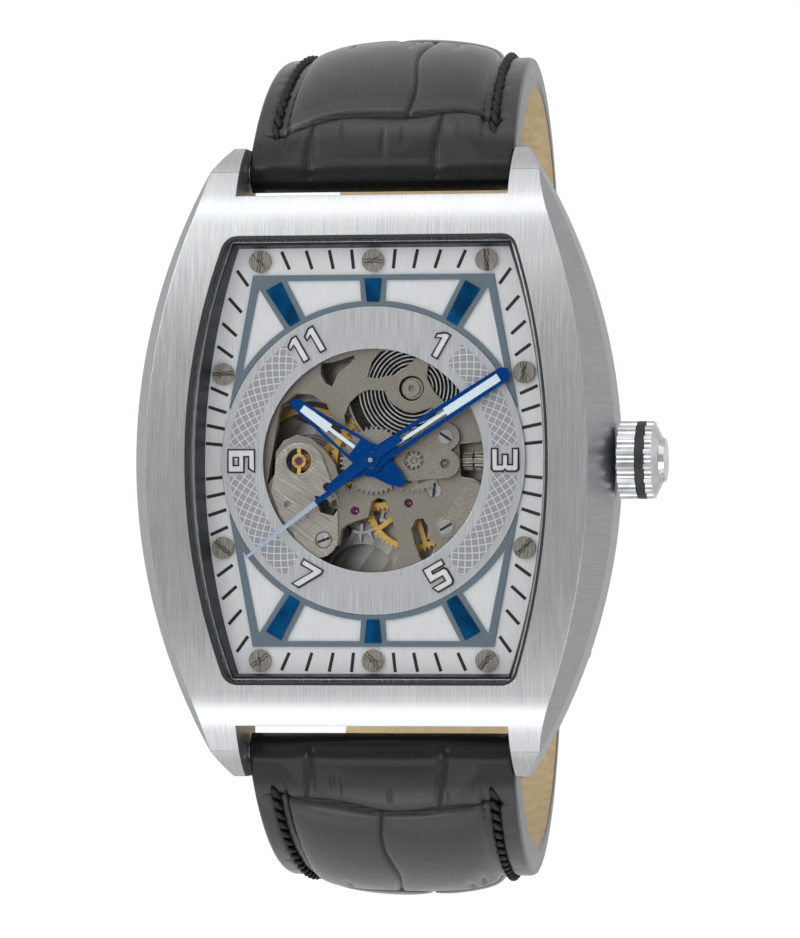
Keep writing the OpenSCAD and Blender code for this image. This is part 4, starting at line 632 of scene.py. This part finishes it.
# Crocodile scales: rows that shorten along the strap, cut lengthwise, with short wrinkles beside each row's end
scales = {"first": 5.2, "second": 14.0, "shrink": 0.86, "least": 6.5, "groove": 0.27, "width": 0.22, "dome": 0.26,
          "softness": 1.6, "seed": 11, "bow": 0.012, "lean": 0.05, "ripple": 0.25, "wander": 0.3, "wrinkles": 5,
          "wrinkleReach": (0.8, 2.2), "wrinkleDepth": 0.75, "wrinkleThin": 2.2, "wrinkleSpan": 8,
          "ripplePace": 0.55, "wanderPace": 0.6, "cutDepth": 0.9, "middleCut": (-1.5, 3.0), "rightCut": (5, 6.5),
          "leftCut": (6, 8), "edgePitch": 1.7, "edgeDepth": 0.3, "edgeThin": 1.4, "edgeLean": 0.2, "edgeFade": 0.4,
          "flatEdge": 0.3, "flatFade": 1.6, "dullFrom": 0.08, "dullOver": 0.34}
stitches = {"pitch": 1.35, "length": 1.85, "thickness": 0.6, "inset": 2.0, "start": 4.6, "groove": 0.26,
            "grooveWidth": 0.42, "grooveFade": 0.8, "slant": 0.42, "proud": 0.05, "sunk": 0.2, "dull": 0.8,
            "tailEnd": 0.6, "flatEnd": 0.9}


def loopPath(long):
    # stations every step along the middle line: place, outward angle and share of each stretch
    out, drop = strap["loopY"] - strap["barY"], strap["barZ"] - strap["loopZ"]
    upperR = (out ** 2 + drop ** 2) / (2 * out)
    upperA = math.atan2(drop, upperR - out)
    midZ = strap["tailZ"] if long else strap["shortZ"]
    lowR = strap["loopZ"] - midZ
    lowC = strap["loopY"] - lowR
    tailC = -(strap["loopY"] - (strap["loopZ"] - strap["shortZ"]))
    end = tailC if long else strap["pivotY"] - 1.0
    pieces = [("eye", strap["eyeBack"]), ("upper", upperR * upperA), ("lower", lowR * math.pi / 2),
              ("flat", lowC - end)]
    if long:
        pieces.append(("tail", lowR * math.radians(strap["tailSweep"])))
    path = []
    for kind, length in pieces:
        count = max(3, round(length / strap["step"]))
        for i in range(1 if path else 0, count + 1):
            u = i / count
            if kind == "eye":
                back = strap["eyeBack"] * (1 - u)
                y, z, a = strap["barY"] - back * math.sin(upperA), strap["barZ"] + back * math.cos(upperA), upperA
            elif kind == "flat":
                y, z, a = lowC + (end - lowC) * u, midZ, -math.pi / 2
            else:  # round an arc, from its middle and radius
                middle, radius, a = {"upper": (strap["loopY"] - upperR, upperR, upperA * (1 - u)),
                                     "lower": (lowC, lowR, -math.pi / 2 * u),
                                     "tail": (tailC, lowR, -math.pi / 2 - math.radians(strap["tailSweep"]) * u)}[kind]
                y, z = middle + radius * math.cos(a), strap["loopZ"] + radius * math.sin(a)
            path.append((y, z, a, kind, u))
    return path


def stationSizes(place, long):
    _, z, _, kind, u = place
    rise = min(1.0, max(0.0, (z - strap["shortZ"]) / (strap["barZ"] - strap["shortZ"])))
    thick = strap["thick"] + (strap["lugThick"] - strap["thick"]) * rise ** strap["taper"]
    half = strap["endHalf"] + (strap["lugHalf"] - strap["endHalf"]) * rise
    pad = 0.0
    if kind == "eye":
        thick *= math.sqrt(max(0.2, 1 - (1 - u) ** 2 * strap["eyeRound"]))
    elif kind == "upper":
        pad = strap["pad"] * min(1, u * strap["padIn"])
    elif kind == "lower":
        pad = strap["pad"] * max(0, 1 - u * strap["padOut"])
    if long and kind in ("flat", "tail"):
        thick = strap["tailThick"]
    if kind == "tail" and u > strap["tip"]:
        half *= math.sqrt(max(0.04, 1 - ((u - strap["tip"]) / (1 - strap["tip"])) ** 2))
    return thick, half, pad


def nearCrease(distance):
    # how deep the crease is at this distance, with the scale swelling up beside it
    d = np.abs(distance)
    return -scales["groove"] * np.exp(-(d / scales["width"]) ** 2) - scales["dome"] * np.exp(-d / scales["softness"])


def scaleRelief(along, across, half, seed):
    # big scales in rows that shorten towards the buckle, each row split lengthwise near its middle
    rng = np.random.default_rng(scales["seed"] + seed)
    total, rows, pitch = along.max(), [scales["first"]], scales["second"]
    while rows[-1] < total:
        rows.append(rows[-1] + pitch)
        pitch = max(scales["least"], pitch * scales["shrink"])
    inner = half - strap["margin"] + scales["flatEdge"]
    depth = np.zeros(len(along))
    start = 0.0
    for k, end in enumerate(rows):
        bow, lean, wave = rng.normal(0, scales["bow"]), rng.normal(0, scales["lean"]), rng.uniform(0, 6)
        ripple = scales["ripple"] * np.sin(across * scales["ripplePace"] + wave)
        line = end + bow * across ** 2 + lean * across + ripple
        depth = np.minimum(depth, nearCrease(along - line))
        inRow = (along > start) & (along < line)
        cuts = ([rng.uniform(*scales["middleCut"])] if k
                else [rng.uniform(*scales["rightCut"]), -rng.uniform(*scales["leftCut"])])
        for cut in cuts:
            path = cut + scales["wander"] * np.sin(along * scales["wanderPace"] + wave)
            depth = np.where(inRow, np.minimum(depth, nearCrease(across - path) * scales["cutDepth"]), depth)
        for _ in range(scales["wrinkles"]):
            x0 = rng.uniform(-scales["wrinkleSpan"], scales["wrinkleSpan"])
            length = rng.uniform(*scales["wrinkleReach"])
            short = np.exp(-((along - end + length) / length) ** 2)
            wrinkle = nearCrease((across - x0) * scales["wrinkleThin"]) * scales["wrinkleDepth"] * short * inRow
            depth = np.minimum(depth, wrinkle)
        start = end
    for _ in range(int(total / scales["edgePitch"])):
        side, place = rng.choice([-1, 1]), rng.uniform(2, total)
        edge = np.clip((np.abs(across) - inner) / scales["edgeFade"], 0, 1) * (np.sign(across) == side)
        away = (along - place - scales["edgeLean"] * across * side) * scales["edgeThin"]
        depth = np.minimum(depth, nearCrease(away) * scales["edgeDepth"] * edge)
    return depth + scales["dome"] * 0.6


def strapPiece(name, long):
    path = loopPath(long)
    count, lining = strap["across"], strap["lining"]
    ys, zs, angles = (np.array([p[k] for p in path]) for k in range(3))
    sizes = np.array([stationSizes(p, long) for p in path])
    gone = np.concatenate([[0], np.cumsum(np.hypot(np.diff(ys), np.diff(zs)))])
    share = np.linspace(-1, 1, count)
    thick, half, pad = (sizes[:, k][:, None] for k in range(3))
    x = share[None, :] * (half - strap["sideIn"])
    crown = np.clip(1 - (x / np.maximum(0.5, half - strap["margin"])) ** 2, 0, 1) ** strap["crown"]
    rounding = np.clip((half - np.abs(x)) / strap["edge"], 0, 1)
    height = thick / 2 + pad * crown - strap["edgeDrop"] * (1 - np.sqrt(1 - (1 - rounding) ** 2))
    relief = scaleRelief(np.repeat(gone, count), x.ravel(), np.repeat(half[:, 0], count), int(long)).reshape(x.shape)
    seam = np.exp(-((half - np.abs(x) - stitches["inset"]) / stitches["grooveWidth"]) ** 2)
    seam = seam * np.clip((gone[:, None] - stitches["start"]) / stitches["grooveFade"], 0, 1)
    inside = np.clip((half - np.abs(x) - scales["flatEdge"]) / scales["flatFade"], 0, 1)
    relief = relief * inside * inside * (3 - 2 * inside)
    height = height + relief - stitches["groove"] * seam
    innerX = np.linspace(1, -1, lining)[None, :] * (half - strap["liningIn"])
    innerH = -thick / 2 + 0 * innerX
    ring = np.concatenate([x, innerX], axis=1)
    lift = np.concatenate([height, innerH], axis=1)
    ahead, up = np.cos(angles)[:, None], np.sin(angles)[:, None]
    flip = -1 if long else 1
    points = np.stack([ring, flip * (ys[:, None] + lift * ahead), zs[:, None] + lift * up], axis=2)
    n, m = ring.shape[1], len(path)
    index = np.arange(m * n).reshape(m, n)
    following = np.roll(index, -1, axis=1)
    quads = np.stack([index[:-1], following[:-1], following[1:], index[1:]], axis=2).reshape(-1, 4)
    faces = [tuple(q) if not long else tuple(q[::-1]) for q in quads.tolist()]
    ends = [list(range(n))[::-1], [(m - 1) * n + j for j in range(n)]]
    faces += [tuple(e) if not long else tuple(e[::-1]) for e in ends]
    obj = meshObject(name, points.reshape(-1, 3).tolist(), [], faces)
    obj.data.materials.append(blackLeather)
    obj.data.materials.append(beigeLining)
    under = np.zeros(len(faces), np.int32)
    column = np.tile(np.arange(n), m - 1)
    # black leather is folded round the bar and a little way under
    turnedIn = np.repeat(gone[1:] < strap["turnedIn"], n)
    under[:len(column)][(column >= count) & (column < n - 1) & ~turnedIn] = 1
    obj.data.polygons.foreach_set("material_index", under)
    obj.data.polygons.foreach_set("use_smooth", np.ones(len(faces), bool))
    # the creases, the seam and the fold round the bar are duller than the rest
    pressed = np.zeros(ring.shape)
    folded = np.clip((strap["foldEnd"] - gone[:, None]) / strap["foldFade"], 0, strap["foldDull"])
    creased = (-relief - scales["dullFrom"]) / scales["dullOver"]
    pressed[:, :count] = np.clip(np.maximum(np.maximum(creased, seam * stitches["dull"]), folded), 0, 1)
    obj.data.attributes.new("pressed", "FLOAT", "POINT").data.foreach_set("value", pressed.ravel())
    return obj, path, sizes


def cutWith(obj, cutters):
    for cutter in cutters:
        cut = obj.modifiers.new("hole", "BOOLEAN")
        cut.operation, cut.solver, cut.object = "DIFFERENCE", "EXACT", cutter
    settled(obj)
    for cutter in cutters:
        bpy.data.objects.remove(cutter)


def prism(name, outline, low, high):
    n = len(outline)
    points = [(x, y, z) for z in (low, high) for x, y in outline]
    faces = [tuple(range(n))[::-1], tuple(range(n, 2 * n))]
    faces += [(j, (j + 1) % n, n + (j + 1) % n, n + j) for j in range(n)]
    return meshObject(name, points, [], faces)


def stitchTree():
    tree, given = newTree("stitchRow", {"Pitch": "NodeSocketFloat", "Length": "NodeSocketFloat",
                                        "Thickness": "NodeSocketFloat", "Slant": "NodeSocketFloat",
                                        "Thread": "NodeSocketMaterial"})
    curve = put(tree, "GeometryNodeMeshToCurve", None, {"Mesh": given["Geometry"]})
    spaced = put(tree, "GeometryNodeResampleCurve", {"mode": "LENGTH"},
                 {"Curve": curve.outputs["Curve"], "Length": given["Pitch"]})
    ball = put(tree, "GeometryNodeMeshUVSphere", None, {"Segments": 8, "Rings": 6, "Radius": 0.5})
    size = put(tree, "ShaderNodeCombineXYZ", None,
               {"X": given["Length"], "Y": given["Thickness"], "Z": given["Thickness"]})
    tangent = put(tree, "GeometryNodeInputTangent").outputs["Tangent"]
    along = put(tree, "FunctionNodeAlignRotationToVector", {"axis": "X"}, {"Vector": tangent})
    lean = put(tree, "FunctionNodeEulerToRotation", None,
               {"Euler": put(tree, "ShaderNodeCombineXYZ", None, {"Z": given["Slant"]}).outputs["Vector"]})
    turn = put(tree, "FunctionNodeRotateRotation", {"rotation_space": "LOCAL"},
               {"Rotation": along.outputs["Rotation"], "Rotate By": lean.outputs["Rotation"]})
    placed = put(tree, "GeometryNodeInstanceOnPoints", None,
                 {"Points": spaced.outputs["Curve"], "Instance": ball.outputs["Mesh"],
                  "Rotation": turn.outputs["Rotation"], "Scale": size.outputs["Vector"]})
    real = put(tree, "GeometryNodeRealizeInstances", None, {"Geometry": placed.outputs["Instances"]})
    smooth = put(tree, "GeometryNodeSetShadeSmooth", None, {"Geometry": real.outputs["Geometry"]})
    sewn = put(tree, "GeometryNodeSetMaterial", None,
               {"Geometry": smooth.outputs["Geometry"], "Material": given["Thread"]})
    return closeTree(tree, sewn.outputs["Geometry"])


rowOfStitches = stitchTree()


def strapStitches(name, path, sizes, long):
    points, edges = [], []
    flip = -1 if long else 1
    for side in (-1, 1):
        first, gone, last = len(points), 0.0, path[0]
        for (y, z, a, kind, u), (thick, half, pad) in zip(path, sizes):
            gone, last = gone + math.hypot(y - last[0], z - last[1]), (y, z)
            ended = u > {"tail": stitches["tailEnd"], "flat": 1 if long else stitches["flatEnd"]}.get(kind, 1)
            if gone < stitches["start"] or ended:
                continue
            lift = thick / 2 + stitches["proud"] - stitches["sunk"] * (1 - pad / strap["pad"])
            points.append((side * (half - stitches["inset"]), flip * (y + lift * math.cos(a)),
                           z + lift * math.sin(a)))
        edges += [(k, k + 1) for k in range(first, len(points) - 1)]
    obj = meshObject(name, points, edges, [])
    addNodes(obj, rowOfStitches, {"Pitch": stitches["pitch"] * mm, "Length": stitches["length"] * mm,
                                  "Thickness": stitches["thickness"] * mm, "Slant": stitches["slant"],
                                  "Thread": thread})
    finishPiece(settled(obj), "case")


# The slot for the tongue's root, and five long holes, the first one set further back
openings = {"slotHalf": 1.2, "slotY": (-9.0, -3.4), "slotZ": (2, 8), "half": 0.85, "radius": 1.15, "sides": 24,
            "z": (0.6, 4.4), "count": 5, "pitch": 6.0, "back": 1.35, "firstBack": 1.0}


def holeOutline(k):
    y = strap["pivotY"] - openings["back"] + openings["pitch"] * (k - 1) - (openings["firstBack"] if k == 0 else 0)
    outline = []
    for side in range(openings["sides"]):
        t = math.radians(360 / openings["sides"] * side)
        end = openings["half"] if math.sin(t) > 0 else -openings["half"]
        outline.append((openings["radius"] * math.cos(t), y + openings["radius"] * math.sin(t) + end))
    return outline


shortStrap, shortPath, shortSizes = strapPiece("shortStrapLeather", False)
w, (near, far) = openings["slotHalf"], openings["slotY"]
cutWith(shortStrap, [prism("tongueSlot", [(-w, near), (w, near), (w, far), (-w, far)], *openings["slotZ"])])
longStrap, longPath, longSizes = strapPiece("longStrapLeather", True)
cutWith(longStrap, [prism("hole" + str(k), holeOutline(k), *openings["z"]) for k in range(openings["count"])])
for obj, node in ((shortStrap, "strap_short"), (longStrap, "strap_long")):
    finishPiece(obj, "case", (node,))
strapStitches("shortStrapStitches", shortPath, shortSizes, False)
strapStitches("longStrapStitches", longPath, longSizes, True)
print("straps sewn")

# Keepers: flat leather loops with rounded corners
keeper = {"width": 5.0, "halfIn": 10.3, "wall": 1.2, "top": 7.0, "corner": 1.5, "innerCorner": 0.4, "sides": 6,
          "edge": 0.3, "edgeAngle": math.radians(50)}


def roundedBox(half, low, high, radius):
    points = []
    for cx, cz, start in ((half - radius, high - radius, 0), (-half + radius, high - radius, 90),
                          (-half + radius, low + radius, 180), (half - radius, low + radius, 270)):
        for k in range(keeper["sides"] + 1):
            t = math.radians(start + 90 * k / keeper["sides"])
            points.append((cx + radius * math.cos(t), cz + radius * math.sin(t)))
    return points


def keeperPiece(name, node, body):
    y = (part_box(node)[0].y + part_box(node)[1].y) / 2 / mm
    outer = roundedBox(keeper["halfIn"] + keeper["wall"], 0, keeper["top"], keeper["corner"])
    inner = roundedBox(keeper["halfIn"], keeper["wall"], keeper["top"] - keeper["wall"], keeper["innerCorner"])
    n = len(outer)
    rings = [[(px, y + s * keeper["width"] / 2, pz) for px, pz in loop] for s, loop in
             ((-1, outer), (1, outer), (1, inner), (-1, inner))]
    points = [p for ring in rings for p in ring]
    faces = [(r * n + j, r * n + (j + 1) % n, (r + 1) % 4 * n + (j + 1) % n, (r + 1) % 4 * n + j)
             for r in range(4) for j in range(n)]
    obj = meshObject(name, points, [], [f[::-1] for f in faces])
    obj.data.materials.append(keeperLeather)
    obj.data.polygons.foreach_set("use_smooth", [True] * len(faces))
    soft = obj.modifiers.new("softEdge", "BEVEL")
    soft.width, soft.segments, soft.limit_method = keeper["edge"] * mm, 3, "ANGLE"
    soft.angle_limit, soft.harden_normals = keeper["edgeAngle"], True
    finishPiece(settled(obj), body, (node,))


keeperPiece("fixedKeeperLeather", "fixed_keeper", "case")
keeperPiece("freeKeeperLeather", "free_keeper", "keeper")
print("keepers done")

# Springs wound finer than their plain solids; where no height is given it is the solid's
coils = {"mainspringCoil": {"node": "mainspring", "body": "barrel", "finish": springSteel, "centre": barrelCentre,
                            "inner": 1.05, "outer": 4.95, "height": None, "turns": 11, "thick": 0.12, "steps": 60},
         "hairspringCoil": {"node": "hairspring", "body": "balance", "finish": blueSpring, "centre": balanceCentre,
                            "inner": 0.4, "outer": 2.66, "height": 0.2, "turns": 9, "thick": 0.05, "steps": 48}}


def coilSpring(name, node, body, finish, centre, inner, outer, height, turns, thick, steps):
    # a flat strip on edge, wound in an even spiral round the centre
    low, high = (corner.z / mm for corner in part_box(node))
    if height is not None:
        high = low + height
    count = turns * steps + 1
    angle = np.linspace(0, 2 * math.pi * turns, count)
    radius = np.linspace(inner, outer - thick, count)
    corners = [(0, low), (thick, low), (thick, high), (0, high)]
    rings = np.stack([np.stack([centre[0] + (radius + dr) * np.cos(angle), centre[1] + (radius + dr) * np.sin(angle),
                                np.full(count, z)], axis=1) for dr, z in corners], axis=1)
    faces = [(4 * i + j, 4 * i + 4 + j, 4 * i + 4 + (j + 1) % 4, 4 * i + (j + 1) % 4)
             for i in range(count - 1) for j in range(4)]
    faces += [(0, 1, 2, 3), tuple(4 * count - 4 + j for j in (3, 2, 1, 0))]
    obj = meshObject(name, rings.reshape(-1, 3).tolist(), [], [f[::-1] for f in faces])
    obj.data.materials.append(finish)
    finishPiece(obj, body, (node,))


for name, coil in coils.items():
    coilSpring(name, **coil)
print("springs wound")

# Floor, light and camera
look = {"pixelsPerMm": 11.5, "distance": 530.0, "tilt": 9.8, "nod": 1.4, "target": (2.35, -0.75, 48.75),
        "pictureHeight": 938}


# under is painted shade: the paper's colour where it is seen through the watch, standing for the shadow beneath it
paper = {"size": 3, "drop": 0.0002, "colour": "#B8B8B8", "under": "#3A342C", "glow": 1.12, "seen": 0.85,
         "mirrored": 0.35}


def paleFloor():
    bpy.ops.mesh.primitive_plane_add(size=paper["size"], location=(0, 0, -paper["drop"]))
    floor = bpy.context.object
    floor.name = "paleFloor"
    material, tree, shader = startMaterial("pale matt paper", paper["colour"], roughness=0.9)[:3]
    glow = put(tree, "ShaderNodeEmission", None, {"Color": (1, 1, 1, 1), "Strength": paper["glow"]})
    path = put(tree, "ShaderNodeLightPath").outputs
    found = {"camera": path["Is Camera Ray"], "glossy": path["Is Glossy Ray"], "sent": path["Is Transmission Ray"],
             "passed": path["Transparent Depth"]}
    # white to the camera where no glass lies between, mirrored by metal and glass at a smaller share; seen through
    # the watch's glasses, the paper is painted dark brown, painted shade for the shadow under the watch
    steps = (("clear", "LESS_THAN", "passed", 0.5), ("direct", "MULTIPLY", "camera", "clear"),
             ("either", "MAXIMUM", "glossy", "sent"), ("mirrored", "MULTIPLY", "either", "clear"),
             ("faint", "MULTIPLY", "mirrored", paper["mirrored"]), ("plain", "MULTIPLY", "direct", paper["seen"]),
             ("white", "MAXIMUM", "plain", "faint"), ("dim", "SUBTRACT", "camera", "direct"))
    for result, operation, a, b in steps:
        found[result] = put(tree, "ShaderNodeMath", {"operation": operation},
                            {0: found.get(a, a), 1: found.get(b, b)}).outputs["Value"]
    # painted shade: paper seen through the glasses takes the dark under colour
    under = blendColours(tree, found["dim"], paper["colour"], paper["under"], start=0.4, end=0.6)
    tree.links.new(under, shader.inputs["Base Color"])
    mixed = put(tree, "ShaderNodeMixShader", None,
                {0: found["white"], 1: shader.outputs["BSDF"], 2: glow.outputs["Emission"]})
    tree.links.new(mixed.outputs["Shader"], tree.nodes["Material Output"].inputs["Surface"])
    floor.data.materials.append(material)


# brightness of the room against how far a ray leans towards either end of the case
room = {"strength": 1.5, "overhead": (0.12, (0.37, 0.37, 0.373, 1)), "ends": (1.0, (0.85, 0.85, 0.855, 1)),
        "between": ((0.27, 0.33), (0.35, 0.5), (0.41, 0.84), (0.6, 0.84), (0.8, 0.97))}


def studioWorld():
    # grey straight overhead, bright towards both ends of the case, darker at the sides
    world = bpy.data.worlds.new("softStudio")
    bpy.context.scene.world = world
    world.use_nodes = True
    tree = world.node_tree
    axes = put(tree, "ShaderNodeSeparateXYZ", None, {"Vector": put(tree, "ShaderNodeTexCoord").outputs["Generated"]})
    lean = put(tree, "ShaderNodeMath", {"operation": "ABSOLUTE"}, {0: axes.outputs["Y"]}).outputs["Value"]
    ramp = put(tree, "ShaderNodeValToRGB", None, {"Fac": lean})
    first, last = ramp.color_ramp.elements
    (first.position, first.color), (last.position, last.color) = room["overhead"], room["ends"]
    for position, level in room["between"]:
        ramp.color_ramp.elements.new(position).color = (level, level, level, 1)
    lit = tree.nodes["Background"]
    tree.links.new(ramp.outputs["Color"], lit.inputs["Color"])
    lit.inputs["Strength"].default_value = room["strength"]
    # the backdrop itself is white to the camera
    white = put(tree, "ShaderNodeBackground", None, {"Color": (1, 1, 1, 1), "Strength": 1.0})
    path = put(tree, "ShaderNodeLightPath").outputs
    seen = put(tree, "ShaderNodeMath", {"operation": "MAXIMUM"},
               {0: path["Is Camera Ray"], 1: path["Is Transmission Ray"]}).outputs["Value"]
    mixed = put(tree, "ShaderNodeMixShader", None,
                {0: seen, 1: lit.outputs["Background"], 2: white.outputs["Background"]})
    tree.links.new(mixed.outputs["Shader"], tree.nodes["World Output"].inputs["Surface"])


# place and size in metres, power in watts
lamps = {"leftBox": ((-0.5, 0.3, 0.55), (0.4, 0.6), 2.0), "rightBox": ((0.6, -0.25, 0.45), (0.3, 0.5), 1.2),
         "farStrip": ((-0.13, 0.52, 0.56), (0.5, 0.26), 0.35), "nearStrip": ((-0.13, -0.5, 0.56), (0.5, 0.26), 0.45)}


def softbox(name, place, size, power, aim=(0, 0, 0.045)):
    light = bpy.data.lights.new(name, "AREA")
    light.shape, light.size, light.size_y, light.energy = "RECTANGLE", size[0], size[1], power
    obj = bpy.data.objects.new(name, light)
    bpy.context.scene.collection.objects.link(obj)
    obj.location = place
    obj.rotation_euler = (Vector(aim) - Vector(place)).to_track_quat("-Z", "Y").to_euler()


def photoCamera():
    camera = bpy.data.cameras.new("photoCamera")
    obj = bpy.data.objects.new("photoCamera", camera)
    bpy.context.scene.collection.objects.link(obj)
    tilt, nod = math.radians(look["tilt"]), math.radians(look["nod"])
    back = Vector((math.sin(tilt), -math.sin(nod), math.cos(tilt)))
    obj.location = (Vector(look["target"]) + back * look["distance"]) * mm
    obj.rotation_euler = (nod, tilt, 0)
    camera.lens = camera.sensor_width * look["distance"] * look["pixelsPerMm"] / look["pictureHeight"]
    camera.clip_start, camera.clip_end = 0.01, 10
    bpy.context.scene.camera = obj


paleFloor()
studioWorld()
for name, (place, size, power) in lamps.items():
    softbox(name, place, size, power)
photoCamera()
bpy.context.scene.view_settings.view_transform = "Standard"
print("camera and light set")
